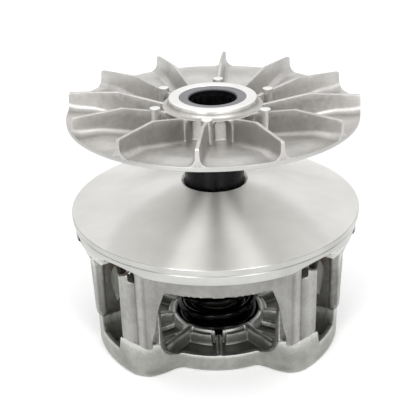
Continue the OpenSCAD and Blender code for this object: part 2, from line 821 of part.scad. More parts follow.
module moving_sheave() {
    color([0.8, 0.8, 0.78]) {
        difference() {
            union() {
                difference() {
                    moving_disc();
                    at_pairs() both_sides() rim_scallop();
                }
                at_pairs() both_sides() tower();
                at_pairs() corbel(-corbel_a, corbel_a);
                // pairs 2 and 3 flare out to the rim over one whole tower
                at_pair(2) flared_face(-strip_a, -column_in_a);
                at_pair(3) flared_face(column_in_a, strip_a);
                at_windows() {
                    skirt();
                    disc_rib();
                }
            }
            at_pairs() {
                both_sides() {
                    pin_pocket();
                    rotate(screw_a) translate([screw_pitch_r, 0, joint_z - 1])
                        cylinder(r = screw_r, h = screw_len - joint_z + screw_head_h + 6);
                }
                across(pivot_x, pivot_z, pivot_r, pocket_y + 1);
            }
        }
    }
}

module sheave_bushing() {
    color([0.35, 0.3, 0.26])
        tube(bushing_r, slide_r + run_gap, bushing_low_z, bushing_top_z);
}

module pivot_pins() {
    color([0.7, 0.7, 0.71]) at_pairs() difference() {
        across(pivot_x, pivot_z, pivot_r, pivot_half);
        across(pivot_x, pivot_z, pivot_bore_r, pivot_half + 1);
    }
}

module pivot_spacers() {
    inner = weight_half + side_gap;
    color([0.72, 0.42, 0.25]) at_pairs() for (side = [-1, 1]) difference() {
        translate([pivot_x, side * (inner + pair_half) / 2, pivot_z]) rotate([90, 0, 0])
            cylinder(r = pivot_r + 2.2, h = pair_half - inner, center = true);
        across(pivot_x, pivot_z, pivot_r, pair_half + 1);
    }
}

// A cotter pin along the hollow pivot pin: an eye at one end, two bent legs at the other
module cotter_pins() {
    eye_mid_r = cotter_eye_r - cotter_r;
    eye_y = -pivot_half - cotter_eye_r - cotter_play;
    leg_y = pivot_half + 1.5 * cotter_r;
    leg_from = eye_y + eye_mid_r;
    leg_gap = cotter_play / 2;
    leg_spread = 38;
    color([0.82, 0.82, 0.8]) at_pairs() translate([pivot_x, 0, pivot_z]) {
        translate([0, eye_y, 0]) rotate([0, 90, 0])
            rotate_extrude() translate([eye_mid_r, 0]) circle(r = cotter_r, $fn = 24);
        for (side = [-1, 1]) translate([0, 0, side * (cotter_r + leg_gap / 2)]) {
            translate([0, leg_from, 0]) rotate([-90, 0, 0])
                cylinder(r = cotter_r, h = leg_y - leg_from, $fn = 24);
            translate([0, leg_y, 0]) rotate([0, 90 - side * leg_spread, 0]) {
                sphere(r = cotter_r, $fn = 24);
                cylinder(r = cotter_r, h = cotter_leg, $fn = 24);
            }
        }
    }
}

module flyweight_plan() {
    eye_side = weight_depth + roller_r + cam_gap;
    cam = [for (k = [0:cam_steps]) cam_point(k / cam_steps, roller_r + cam_gap)];
    back = [for (k = [cam_steps:-1:2]) cam_point(k / cam_steps, eye_side)];
    tip = cam_point(1.12, roller_r + cam_gap);
    tip_back = cam_point(1.12, eye_side - 2);
    difference() {
        union() {
            polygon(concat([[0, -eye_r * 0.9], [0, 0]], [[-eye_r * 0.2, eye_r * 0.9]],
                [back[len(back) - 1] + [2, 5]],
                [for (k = [len(back) - 1:-1:0]) back[k]], [tip_back], [tip],
                [for (k = [cam_steps:-1:0]) cam[k]], [cam_point(-0.1, roller_r + cam_gap)]));
            circle(r = eye_r);
        }
        translate(roller_path(0)) circle(r = roller_r + cam_gap);
    }
}

module flyweight(i) {
    color([0.6, 0.6, 0.58]) at_pair(i) translate([pivot_x, 0, pivot_z]) difference() {
        rotate([90, 0, 0]) linear_extrude(height = weight_t, center = true) flyweight_plan();
        rotate([90, 0, 0]) {
            cylinder(r = pivot_r + run_gap + weight_bush_wall, h = 2 * weight_t, center = true);
            for (t = [0.55, 0.95])
                translate(cam_point(t, roller_r + weight_depth / 2))
                    cylinder(r = rivet_r, h = 2 * weight_t, center = true);
        }
    }
}

module weight_bush(i) {
    color([0.62, 0.42, 0.22]) at_pair(i) difference() {
        across(pivot_x, pivot_z, pivot_r + run_gap + weight_bush_wall, weight_half);
        across(pivot_x, pivot_z, pivot_r + run_gap, weight_t);
    }
}

module weight_rivets(i) {
    color([0.75, 0.75, 0.74]) at_pair(i) translate([pivot_x, 0, pivot_z]) rotate([90, 0, 0])
        for (t = [0.55, 0.95])
            translate(cam_point(t, roller_r + weight_depth / 2))
                cylinder(r = rivet_r, h = weight_t, center = true);
}

// ---------- Cover ----------

// The cover's outline, drawn in from its outer face
module cover_outline(inset) {
    polygon([for (a = [0:2:358]) polar(outline_r(a, front_r - inset, cover_r - inset), a)]);
}

module cover_base() {
    linear_extrude(height = floor_t) cover_outline(0);
    linear_extrude(height = front_h) difference() {
        cover_outline(0);
        cover_outline(wall_t);
    }
    // the wall's higher lip between the towers, a little thinner than the wall
    at_pairs() rotate(-lobe_a) rotate_extrude(angle = 2 * lobe_a)
        translate([cover_r - wall_t + lip_inset, floor_t / 2])
            square([wall_t - 2 * lip_inset, ring_h - floor_t / 2]);
}

// Ribs from the spring's cup: one to each front wall, one to each boss, two along each pair
module cover_ribs() {
    rib_in = cup_r + 1;
    at_windows() translate([rib_in, -rib_t / 2, 0])
        cube([front_r - wall_t / 2 - rib_in, rib_t, front_h - 2]);
    at_pairs() both_sides() rotate(boss_rib_a) translate([rib_in, -rib_t / 2, 0])
        cube([tower_in_r + 6 - rib_in, rib_t, front_h]);
    at_pairs() both_sides() translate([rib_in - 3, pair_half - 9, 0])
        cube([cover_r - wall_t - rib_in + 2, rib_t, front_h / 2]);
}

module cover() {
    cup_slot = 3.4;
    color([0.74, 0.75, 0.73]) difference() {
        union() {
            cover_base();
            tube(cup_r + cup_wall, cup_r, 0, cup_h);
            tube(tube_r, cover_bush_r, 0, tube_top_z);
            cover_ribs();
            linear_extrude(height = joint_z) intersection() {
                at_pairs() both_sides() tower_plan();
                cover_outline(0);
            }
        }
        translate([0, 0, -1]) cylinder(r = cover_bush_r, h = floor_t + 2);
        // notch in the cup's wall at each window
        at_windows() translate([cup_r - 2, -cup_slot / 2, cup_h / 2])
            cube([cup_wall + 5, cup_slot, cup_h]);
        at_pairs() both_sides() rotate(screw_a) translate([screw_pitch_r, 0, 0]) {
            translate([0, 0, -1]) cylinder(r = screw_r + 0.3, h = joint_z + 2);
            translate([0, 0, -1]) cylinder(r = screw_head_r + 0.5, h = screw_head_h + 2);
        }
    }
}

module cover_bushing() {
    color([0.35, 0.3, 0.26]) tube(cover_bush_r, tail_r + run_gap, floor_t, tube_top_z);
}

module cover_screws() {
    color([0.2, 0.2, 0.21]) at_pairs() both_sides() rotate(screw_a)
        translate([screw_pitch_r, 0, 1]) difference() {
            union() {
                cylinder(r = screw_head_r, h = screw_head_h);
                cylinder(r = screw_r, h = screw_head_h + screw_len);
            }
            translate([0, 0, -1]) cylinder(r = screw_r, h = screw_head_h / 2 + 1, $fn = 6);
        }
}

fixed_sheave();
shaft();
upper_thrust_washer();
lower_thrust_washer();
idler_sleeve();
needle_bearings();
spider();
spider_nut();
roller_pins();
slide_buttons();
roller(1);  // roller_1
roller(2);  // roller_2
roller(3);  // roller_3
roller_bush(1);  // roller_bush_1
roller_bush(2);  // roller_bush_2
roller_bush(3);  // roller_bush_3
primary_spring();
moving_sheave();
sheave_bushing();
cover();
cover_bushing();
cover_screws();
pivot_pins();
pivot_spacers();
cotter_pins();
flyweight(1);  // flyweight_1
flyweight(2);  // flyweight_2
flyweight(3);  // flyweight_3
weight_bush(1);  // weight_bush_1
weight_bush(2);  // weight_bush_2
weight_bush(3);  // weight_bush_3
weight_rivets(1);  // weight_rivets_1
weight_rivets(2);  // weight_rivets_2
weight_rivets(3);  // weight_rivets_3
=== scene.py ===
"""Looks of a belt-drive variator's primary pulley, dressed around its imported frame.

The classes hold their sizes in millimetres. A shape is worked out as whole numpy arrays and
becomes a mesh in metres, in the frame's own axes: +Z runs up the shaft, and the three pairs
of towers stand at 90, 210 and 330 degrees from +X.
"""

from __future__ import annotations

import logging
import math
from collections.abc import Callable
from dataclasses import dataclass, field
from enum import Enum

import bmesh
import bpy
import numpy as np
from mathutils import Matrix, Vector


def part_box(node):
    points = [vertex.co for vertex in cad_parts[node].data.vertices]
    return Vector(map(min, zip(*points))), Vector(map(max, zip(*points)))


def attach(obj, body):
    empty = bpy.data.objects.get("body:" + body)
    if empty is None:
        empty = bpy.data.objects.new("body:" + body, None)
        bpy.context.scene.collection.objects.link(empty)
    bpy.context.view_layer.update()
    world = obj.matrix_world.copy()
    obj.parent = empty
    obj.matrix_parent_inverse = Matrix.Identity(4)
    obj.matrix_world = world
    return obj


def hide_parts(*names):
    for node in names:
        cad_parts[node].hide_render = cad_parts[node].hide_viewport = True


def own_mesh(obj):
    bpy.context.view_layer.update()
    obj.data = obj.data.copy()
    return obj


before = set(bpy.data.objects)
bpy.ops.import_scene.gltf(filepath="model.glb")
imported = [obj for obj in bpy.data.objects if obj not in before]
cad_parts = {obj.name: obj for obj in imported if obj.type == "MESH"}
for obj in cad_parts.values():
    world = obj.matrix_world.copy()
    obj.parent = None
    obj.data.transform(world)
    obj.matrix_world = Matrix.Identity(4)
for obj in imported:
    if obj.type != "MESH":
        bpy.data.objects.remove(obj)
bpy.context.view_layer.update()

MM = 0.001  # metres
# Degrees from +X to the middle of each pair of towers, and of each window between pairs
PAIR_ANGLES = (90.0, 210.0, 330.0)
WINDOW_ANGLES = (30.0, 150.0, 270.0)
# Each tower's pair, and the side of the pair's middle on which it stands
TOWERS = tuple((pair, side) for pair in PAIR_ANGLES for side in (-1.0, 1.0))
Array = np.ndarray
log = logging.getLogger("pulley")


def mm_box(name: str) -> tuple[Array, Array]:
    """The lowest and highest corners of a CAD node, in millimetres.

    Args:
        name: the node's name.

    Returns:
        Two arrays of three numbers.
    """
    low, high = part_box(name)
    return np.array(low) / MM, np.array(high) / MM


def depth_inside(u: Array, v: Array, corners: Array) -> Array:
    """How far points lie inside a convex outline.

    Args:
        u: first coordinate of each point.
        v: second coordinate of each point.
        corners: the outline's corners, anticlockwise, one row each.

    Returns:
        The least distance to the left of the sides' lines; negative outside.
    """
    depth = np.full_like(u, 1e3)
    for (p, q), (p1, q1) in zip(corners, np.roll(corners, -1, axis=0)):
        length = math.hypot(p1 - p, q1 - q)
        depth = np.minimum(depth, ((p1 - p) * (v - q) - (q1 - q) * (u - p)) / length)
    return depth


def polar(r: Array | float, a: Array | float, z: Array | float) -> Array:
    """Points at radius r, angle a in radians and height z: (r cos a, r sin a, z)."""
    return np.stack(np.broadcast_arrays(r * np.cos(a), r * np.sin(a), z), axis=-1)


def along_across(x: Array, y: Array, degrees: float) -> tuple[Array, Array]:
    """Where points lie by a line from the shaft.

    Args:
        x: place of each point.
        y: place of each point.
        degrees: the line's direction from +X.

    Returns:
        x cos a + y sin a along the line, and the distance from it, |y cos a - x sin a|.
    """
    a = math.radians(degrees)
    return x * math.cos(a) + y * math.sin(a), np.abs(-x * math.sin(a) + y * math.cos(a))


def from_nearest(degrees: Array, directions: tuple[float, float, float]) -> Array:
    """Degrees from the nearest of three even directions, between -60 and 60."""
    return (degrees - directions[0] + 60.0) % 120.0 - 60.0


def ease(t: Array) -> Array:
    """Smooth step from 0 to 1: u squared times (3 - 2u), with t held between 0 and 1."""
    u = np.clip(t, 0.0, 1.0)
    return u * u * (3.0 - 2.0 * u)


def soft_max(a: Array, b: Array, k: float) -> Array:
    """The higher of two heights, with a fillet of about k where they cross.

    Args:
        a: first height.
        b: second height.
        k: size of the blend.

    Returns:
        max(a, b) plus (k - |a - b|) squared over 4k where they lie within k of each other.
    """
    near = np.maximum(k - np.abs(a - b), 0.0)
    return np.maximum(a, b) + near * near / (4.0 * k)


def soft_min(a: Array, b: Array, k: float) -> Array:
    """The lower of two heights, with its edge rounded by about k."""
    return -soft_max(-a, -b, k)


def rounded(corners: list[tuple[float, float, float]], steps: int = 5) -> Array:
    """A polyline whose corners are arcs.

    Args:
        corners: (x, y, radius) of each corner; a radius of 0 stays sharp.
        steps: points on an arc, less one.

    Returns:
        Points, one row each. An arc touches both sides at radius * tan(turn / 2) from its
        corner and bulges along the corner's bisector.
    """
    out: list[Array] = []
    last = len(corners) - 1
    for i, (x, y, radius) in enumerate(corners):
        here = np.array([x, y])
        if radius <= 0.0 or i in (0, last):
            out.append(here[None])
            continue
        back = np.array(corners[i - 1][:2]) - here
        ahead = np.array(corners[i + 1][:2]) - here
        room = 0.49 * min(np.linalg.norm(back), np.linalg.norm(ahead))
        back, ahead = back / np.linalg.norm(back), ahead / np.linalg.norm(ahead)
        half = 0.5 * math.acos(float(np.clip(back @ ahead, -1.0, 1.0)))
        reach = min(radius / math.tan(half), room)
        bulge = reach * math.tan(half)
        middle = (back + ahead) / np.linalg.norm(back + ahead) * bulge / math.sin(half)
        start, end = back * reach - middle, ahead * reach - middle
        t = np.linspace(0.0, 1.0, steps + 1)[:, None]
        swing = math.acos(float(np.clip(start @ end / bulge**2, -1.0, 1.0)))
        arc = (np.sin((1 - t) * swing) * start + np.sin(t * swing) * end) / math.sin(swing)
        out.append(here + middle + arc)
    return np.vstack(out)


# ---------- Meshes ----------


@dataclass
class Shell:
    """Points in millimetres and faces of one piece, added grid by grid."""

    points: list[Array] = field(default_factory=list)
    faces: list[Array] = field(default_factory=list)
    marks: list[Array] = field(default_factory=list)
    count: int = 0

    def add_grid(
        self,
        grid: Array,
        row_marks: Array | int = 0,
        wrap_rows: bool = False,
        wrap_columns: bool = True,
    ) -> None:
        """Adds a grid of points as quads.

        Args:
            grid: rows by columns by 3.
            row_marks: finish index of each row's faces, or one for all.
            wrap_rows: join the last row to the first.
            wrap_columns: join the last column to the first.
        """
        rows, columns = grid.shape[:2]
        index = self.count + np.arange(rows * columns).reshape(rows, columns)
        if wrap_rows:
            index = np.vstack([index, index[:1]])
        if wrap_columns:
            index = np.hstack([index, index[:, :1]])
        quads = np.stack(
            [index[:-1, :-1], index[:-1, 1:], index[1:, 1:], index[1:, :-1]], axis=-1
        )
        marks = np.broadcast_to(np.asarray(row_marks).reshape(-1, 1), quads.shape[:2])
        self.points.append(grid.reshape(-1, 3))
        self.faces.append(quads.reshape(-1, 4))
        self.marks.append(marks.reshape(-1))
        self.count += rows * columns

    def make(
        self,
        name: str,
        finishes: list[bpy.types.Material],
        sharp: float = 38.0,
        weld: float = 1e-6,
    ) -> bpy.types.Object:
        """Makes the piece, with doubled points merged and its faces turned outwards.

        Args:
            name: the piece's name.
            finishes: its materials, in the order of the marks.
            sharp: angle in degrees past which an edge stays sharp.
            weld: distance in metres under which points merge.

        Returns:
            The new object, linked to the scene.
        """
        mesh = bpy.data.meshes.new(name)
        points = np.vstack(self.points) * MM
        mesh.from_pydata(points.tolist(), [], np.vstack(self.faces).tolist())
        for finish in finishes:
            mesh.materials.append(finish)
        mesh.polygons.foreach_set("material_index", np.concatenate(self.marks).astype(np.int32))
        work = bmesh.new()
        work.from_mesh(mesh)
        bmesh.ops.remove_doubles(work, verts=work.verts, dist=weld)
        bmesh.ops.recalc_face_normals(work, faces=work.faces)
        work.to_mesh(mesh)
        work.free()
        mesh.shade_smooth()
        mesh.set_sharp_from_angle(angle=math.radians(sharp))
        piece = bpy.data.objects.new(name, mesh)
        bpy.context.scene.collection.objects.link(piece)
        return piece


def turned(profile: Array, angles: Array) -> Array:
    """A profile turned about +Z: (r cos a, r sin a, z).

    Args:
        profile: rows of (r, z).
        angles: angles in radians.

    Returns:
        A grid of rows by angles by 3.
    """
    return polar(profile[:, :1], angles, profile[:, 1:2])


def capped(grid: Array) -> Array:
    """A grid whose first and last rows are closed by flat caps, each drawn to a middle."""
    caps = [np.broadcast_to(grid[i].mean(axis=0), grid[i].shape)[None] for i in (0, -1)]
    return np.concatenate([caps[0], grid, caps[1]])


def tube_along(path: Array, radius: float, sides: int) -> Array:
    """A round section carried along a path, square to it.

    Args:
        path: points along the centreline.
        radius: the section's radius.
        sides: points round the section.

    Returns:
        A grid of points by sides by 3: centre + r (cos b * side + sin b * up), where side is
        the path's direction crossed with +Z and up closes the right-handed set.
    """
    along = np.gradient(path, axis=0)
    along /= np.linalg.norm(along, axis=1, keepdims=True)
    side = np.cross(along, np.array([0.0, 0.0, 1.0]))
    side /= np.linalg.norm(side, axis=1, keepdims=True)
    up = np.cross(side, along)
    b = np.linspace(0.0, 2.0 * np.pi, sides, endpoint=False)[None, :, None]
    return path[:, None] + radius * (np.cos(b) * side[:, None] + np.sin(b) * up[:, None])


def apply_modifiers(piece: bpy.types.Object) -> bpy.types.Mesh:
    """Puts a piece's modifiers into a new mesh and takes them off.

    Args:
        piece: the piece.

    Returns:
        Its new mesh.
    """
    bpy.context.view_layer.update()
    graph = bpy.context.evaluated_depsgraph_get()
    done = bpy.data.meshes.new_from_object(piece.evaluated_get(graph))
    piece.modifiers.clear()
    piece.data = done
    return done


def cast_copy(
    name: str,
    node: str,
    voxel: float,
    rounds: int,
    keep: float,
    cutter: bpy.types.Object | None = None,
    reshape: Callable[[Array], Array] | None = None,
) -> bpy.types.Object:
    """A copy of a CAD node with the softened edges of a casting.

    Args:
        name: the new piece's name.
        node: the CAD node that is copied.
        voxel: cell size in millimetres.
        rounds: passes of smoothing that round the edges.
        keep: share of the faces that is kept.
        cutter: a closed piece that is cut away first, and deleted.
        reshape: moves the rounded points, in millimetres, before faces are thinned out.

    Returns:
        The new piece, with modifiers applied.
    """
    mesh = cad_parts[node].data.copy()
    mesh.name = name
    mesh.materials.clear()
    work = bmesh.new()
    work.from_mesh(mesh)
    bmesh.ops.remove_doubles(work, verts=work.verts, dist=1e-6)
    work.to_mesh(mesh)
    work.free()
    piece = bpy.data.objects.new(name, mesh)
    bpy.context.scene.collection.objects.link(piece)
    if cutter:
        cut = piece.modifiers.new("cut", "BOOLEAN")
        cut.operation = "DIFFERENCE"
        cut.object = cutter
    remesh = piece.modifiers.new("cells", "REMESH")
    remesh.mode = "VOXEL"
    remesh.voxel_size = voxel * MM
    smooth = piece.modifiers.new("rounding", "SMOOTH")
    smooth.factor = 0.5
    smooth.iterations = rounds
    apply_modifiers(piece)
    if cutter:
        bpy.data.meshes.remove(cutter.data)
    if reshape:
        piece.data.vertices.foreach_set("co", (reshape(points_of(piece)) * MM).ravel())
        piece.data.update()
    thin = piece.modifiers.new("thinning", "DECIMATE")
    thin.ratio = keep
    done = apply_modifiers(piece)
    done.shade_smooth()
    done.set_sharp_from_angle(angle=math.radians(50.0))
    return piece


def points_of(piece: bpy.types.Object) -> Array:
    """A piece's points.

    Args:
        piece: the object.

    Returns:
        Places in millimetres, one row each.
    """
    flat = np.empty(len(piece.data.vertices) * 3)
    piece.data.vertices.foreach_get("co", flat)
    return flat.reshape(-1, 3) / MM


def centres_of(mesh: bpy.types.Mesh) -> Array:
    """The middles of a mesh's faces.

    Args:
        mesh: the mesh.

    Returns:
        Places in millimetres, one row each.
    """
    flat = np.empty(len(mesh.polygons) * 3)
    mesh.polygons.foreach_get("center", flat)
    return flat.reshape(-1, 3) / MM


def mark_relief(piece: bpy.types.Object, gain: float = 3.0, painted_tone: Array | float = 0.0) -> None:
    """Stores how sharply the surface bulges or dips at each point, for the wear and painted highlight on
    edges and the oxide and painted shade in creases.

    The bulge is the point less the mean of its neighbours, along its normal, over the mean
    length of the edges there. Its first 0.04 count as flat; the rest is held between -1 in
    a crease and 1 on an edge, and averaged once with the neighbours.

    Args:
        piece: the object, with its final mesh.
        gain: how quickly the mark grows with the bulge.
        painted_tone: painted light added to each point's mark, highlight above 0 and shade below.
    """
    mesh = piece.data
    count = len(mesh.vertices)
    points = points_of(piece)
    flat = np.empty(count * 3)
    mesh.vertex_normals.foreach_get("vector", flat)
    normals = flat.reshape(-1, 3)
    ends = np.empty(len(mesh.edges) * 2, dtype=np.int32)
    mesh.edges.foreach_get("vertices", ends)
    a, b = ends[0::2], ends[1::2]
    both, others = np.concatenate([a, b]), np.concatenate([b, a])
    joined = np.maximum(np.bincount(both, minlength=count), 1)

    def mean(values: Array) -> Array:
        """Mean of the neighbours' values at each point."""
        return np.bincount(both, weights=values[others], minlength=count) / joined

    middle = np.stack([mean(points[:, k]) for k in range(3)], axis=1)
    length = np.linalg.norm(points[a] - points[b], axis=1)
    size = np.bincount(both, weights=np.tile(length, 2), minlength=count) / joined
    bulge = np.sum((points - middle) * normals, axis=1) / np.maximum(size, 1e-4)
    past = np.sign(bulge) * np.maximum(np.abs(bulge) - 0.04, 0.0)
    # The mark with its added tone drives the casting's painted highlight and painted shade
    mark = np.clip(gain * past + painted_tone, -1.0, 1.0)
    mark = 0.5 * mark + 0.5 * mean(mark)
    mesh.attributes.new("relief", "FLOAT", "POINT").data.foreach_set("value", mark)


def dress(piece: bpy.types.Object, finish: bpy.types.Material) -> None:
    """Gives a piece one finish on all its faces."""
    piece.data.materials.clear()
    piece.data.materials.append(finish)


# ---------- Finishes ----------


def linear(code: str) -> tuple[float, float, float, float]:
    """Turns an sRGB hex colour into linear values with alpha 1.

    Args:
        code: a colour such as "#C8C8C6".

    Returns:
        Red, green, blue and alpha: c / 12.92 up to 0.04045, and ((c + 0.055) / 1.055) to the
        power 2.4 above it.
    """
    parts = [int(code[i : i + 2], 16) / 255.0 for i in (1, 3, 5)]
    low = [c / 12.92 if c <= 0.04045 else ((c + 0.055) / 1.055) ** 2.4 for c in parts]
    return (low[0], low[1], low[2], 1.0)


@dataclass
class Wiring:
    """The node tree of a material or a world while it is wired."""

    owner: bpy.types.ID

    def add(self, kind: str, settings: dict | None = None, **links: object) -> bpy.types.Node:
        """Adds a node with its settings and links.

        Args:
            kind: the node's type.
            settings: attributes of the node.
            links: its inputs, as fill() takes them.

        Returns:
            The new node.
        """
        made = self.owner.node_tree.nodes.new(kind)
        for key, value in (settings or {}).items():
            setattr(made, key, value)
        self.fill(made, **links)
        return made

    def fill(self, node: bpy.types.Node, **links: object) -> None:
        """Sets or links a node's inputs.

        Args:
            node: the node.
            links: input names, with spaces as underscores, or an input's number after an n;
                each takes a value, or a socket that is linked to it.
        """
        for key, value in links.items():
            number = key[1:]
            spot = node.inputs[int(number)] if number.isdigit() else node.inputs[key.replace("_", " ")]
            if isinstance(value, bpy.types.NodeSocket):
                self.owner.node_tree.links.new(value, spot)
            else:
                spot.default_value = value

    def calc(self, operation: str, *values: object, clamp: bool = False) -> bpy.types.NodeSocket:
        """A sum on numbers or sockets.

        Args:
            operation: the maths node's operation.
            values: its numbers or sockets, in order.
            clamp: hold the result between 0 and 1.

        Returns:
            The result's socket.
        """
        settings = {"operation": operation, "use_clamp": clamp}
        links = {f"n{i}": value for i, value in enumerate(values)}
        return self.add("ShaderNodeMath", settings, **links).outputs[0]

    def noise(
        self, place: bpy.types.NodeSocket, scale: float, detail: float, roughness: float = 0.5
    ) -> bpy.types.NodeSocket:
        """A noise texture's value.

        Args:
            place: the place it is read at.
            scale: patches in a metre.
            detail: how many finer layers it has.
            roughness: how strong they are.

        Returns:
            The value's socket, mostly between 0.3 and 0.7.
        """
        links = {"Vector": place, "Scale": scale, "Detail": detail, "Roughness": roughness}
        return self.add("ShaderNodeTexNoise", **links).outputs["Fac"]

    def spread(self, value: bpy.types.NodeSocket, low: float, high: float) -> bpy.types.NodeSocket:
        """Maps a noise's usual range, 0.3 to 0.7, to another one."""
        links = {"From_Min": 0.3, "From_Max": 0.7, "To_Min": low, "To_Max": high}
        return self.add("ShaderNodeMapRange", Value=value, **links).outputs[0]

    def bump(self, height: bpy.types.NodeSocket, deep: float, strength: float) -> bpy.types.NodeSocket:
        """The bent normal of a surface with bumps, deep in millimetres."""
        links = {"Strength": strength, "Distance": deep * MM, "Height": height}
        return self.add("ShaderNodeBump", **links).outputs["Normal"]

    def blend(self, share: bpy.types.NodeSocket, first: object, second: object) -> bpy.types.NodeSocket:
        """A colour between two, which are sockets or linear colours, by a share of the second."""
        return self.add("ShaderNodeMix", {"data_type": "RGBA"}, n0=share, n6=first, n7=second).outputs[2]

    def ramp(self, value: bpy.types.NodeSocket, stops: list[tuple[float, str]]) -> bpy.types.NodeSocket:
        """A colour ramp from hex colours.

        Args:
            value: the socket that drives it.
            stops: (place, hex colour) in order.

        Returns:
            The ramp's colour socket.
        """
        made = self.add("ShaderNodeValToRGB", Fac=value)
        bar = made.color_ramp.elements
        while len(bar) < len(stops):
            bar.new(0.5)
        for spot, (place, code) in zip(bar, stops):
            spot.position = place
            spot.color = linear(code)
        return made.outputs["Color"]


def new_material(name: str) -> tuple[Wiring, bpy.types.Node]:
    """A material with only its Principled shader.

    Args:
        name: the material's name.

    Returns:
        Its wiring and its shader node.
    """
    material = bpy.data.materials.new(name)
    material.use_nodes = True
    return Wiring(material), material.node_tree.nodes["Principled BSDF"]


@dataclass(frozen=True)
class CastAluminium:
    """Die-cast aluminium, tumbled: a fine even grain, a faintly cloudy tone, edges brightened by wear and a
    painted highlight, creases darkened by oxide and painted shade.
    """

    name: str
    dark: str
    middle: str
    light: str
    wear_and_highlight: str = "#F0EFEC"  # the edges: polished by the tumbling, plus a painted highlight
    crease: str = "#5E5D59"  # the creases: oxide, plus painted shade
    roughness: float = 0.45
    grain: float = 0.9  # mm between the pits of the blasted skin, drawn coarser than life
    pit: float = 0.05  # mm, depth of the pits

    def material(self) -> bpy.types.Material:
        """Wires cloudy colour, pitted bump, uneven sheen, edge wear with painted highlight, crease oxide
        with painted shade.

        Returns:
            The new material.
        """
        w, shader = new_material(self.name)
        place = w.add("ShaderNodeTexCoord").outputs["Object"]
        cloud = w.noise(place, 55.0, 5.0, 0.6)
        streak = w.noise(place, 420.0, 4.0, 0.7)
        pits = w.noise(place, 1.0 / (self.grain * MM), 3.0, 0.6)
        tone = w.calc("ADD", cloud, w.calc("MULTIPLY_ADD", streak, 0.6, -0.3))
        colour = w.ramp(tone, [(0.3, self.dark), (0.5, self.middle), (0.72, self.light)])
        # The relief mark paints light: a highlight with the wear on edges, shade with the oxide in creases,
        # plus each piece's added painted tone
        relief = w.add("ShaderNodeAttribute", {"attribute_name": "relief"}).outputs["Fac"]
        shine = w.calc("MULTIPLY", relief, streak, clamp=True)
        oxide_and_painted_shade = w.calc("MULTIPLY", relief, -0.7, clamp=True)
        bright = w.blend(shine, colour, linear(self.wear_and_highlight))
        w.fill(
            shader,
            Base_Color=w.blend(oxide_and_painted_shade, bright, linear(self.crease)),
            Normal=w.bump(w.calc("MULTIPLY_ADD", cloud, 1.2, pits), self.pit, 0.5),
            Roughness=w.spread(streak, self.roughness - 0.06, self.roughness + 0.08),
            Metallic=1.0,
        )
        return w.owner


@dataclass(frozen=True)
class TurnedMetal:
    """Metal faced on a lathe: fine rings about the shaft, which draw light out into wedges."""

    name: str = "aluminium_lathe_turned"
    dark: str = "#DFDEDB"
    light: str = "#EDECE9"
    roughness: float = 0.34
    stretch: float = 1.0
    pitch: float = 0.7  # mm between rings; the real feed of 0.2 mm is too fine to show
    depth: float = 0.002  # mm

    def material(self) -> bpy.types.Material:
        """Wires rings by the distance from the shaft and a highlight stretched across them.

        Returns:
            The new material.
        """
        w, shader = new_material(self.name)
        place = w.add("ShaderNodeTexCoord").outputs["Object"]
        split = w.add("ShaderNodeSeparateXYZ", Vector=place)
        flat = w.add("ShaderNodeCombineXYZ", X=split.outputs["X"], Y=split.outputs["Y"])
        radius = w.add("ShaderNodeVectorMath", {"operation": "LENGTH"}, n0=flat.outputs[0])
        outward = w.add("ShaderNodeVectorMath", {"operation": "NORMALIZE"}, n0=flat.outputs[0])
        line = w.add("ShaderNodeCombineXYZ", X=radius.outputs["Value"])
        rings = w.noise(line.outputs[0], 1.0 / (self.pitch * MM), 4.0, 0.75)
        tone = w.calc("MULTIPLY_ADD", rings, 0.5, w.noise(place, 38.0, 3.0))
        w.fill(
            shader,
            Base_Color=w.ramp(tone, [(0.5, self.dark), (1.0, self.light)]),
            Normal=w.bump(rings, self.depth, 0.4),
            Roughness=w.spread(rings, self.roughness - 0.04, self.roughness + 0.06),
            Tangent=outward.outputs[0],
            Metallic=1.0,
            Anisotropic=self.stretch,
        )
        return w.owner


@dataclass(frozen=True)
class SmoothCoat:
    """A smooth finish over metal or polymer, with faint mottling and dust in its gloss."""

    name: str
    dark: str
    light: str
    metallic: float
    roughness: float
    mottle: float = 6.0  # mm across a patch
    texture: float = 0.4  # mm between fine bumps
    relief: float = 0.01  # mm
    coat: float = 0.0
    gloss: float = 0.5  # level of the reflection from a coated or plastic skin

    def material(self) -> bpy.types.Material:
        """Wires two tones of colour, an uneven gloss and a fine relief.

        Returns:
            The new material.
        """
        w, shader = new_material(self.name)
        place = w.add("ShaderNodeTexCoord").outputs["Object"]
        patch = w.noise(place, 1.0 / (self.mottle * MM), 5.0, 0.6)
        fine = w.noise(place, 1.0 / (self.texture * MM), 2.0)
        w.fill(
            shader,
            Base_Color=w.ramp(patch, [(0.35, self.dark), (0.68, self.light)]),
            Normal=w.bump(fine, self.relief, 0.5),
            Roughness=w.spread(patch, self.roughness * 0.8, self.roughness * 1.25),
            Metallic=self.metallic,
            Coat_Weight=self.coat,
            Specular_IOR_Level=self.gloss,
        )
        return w.owner


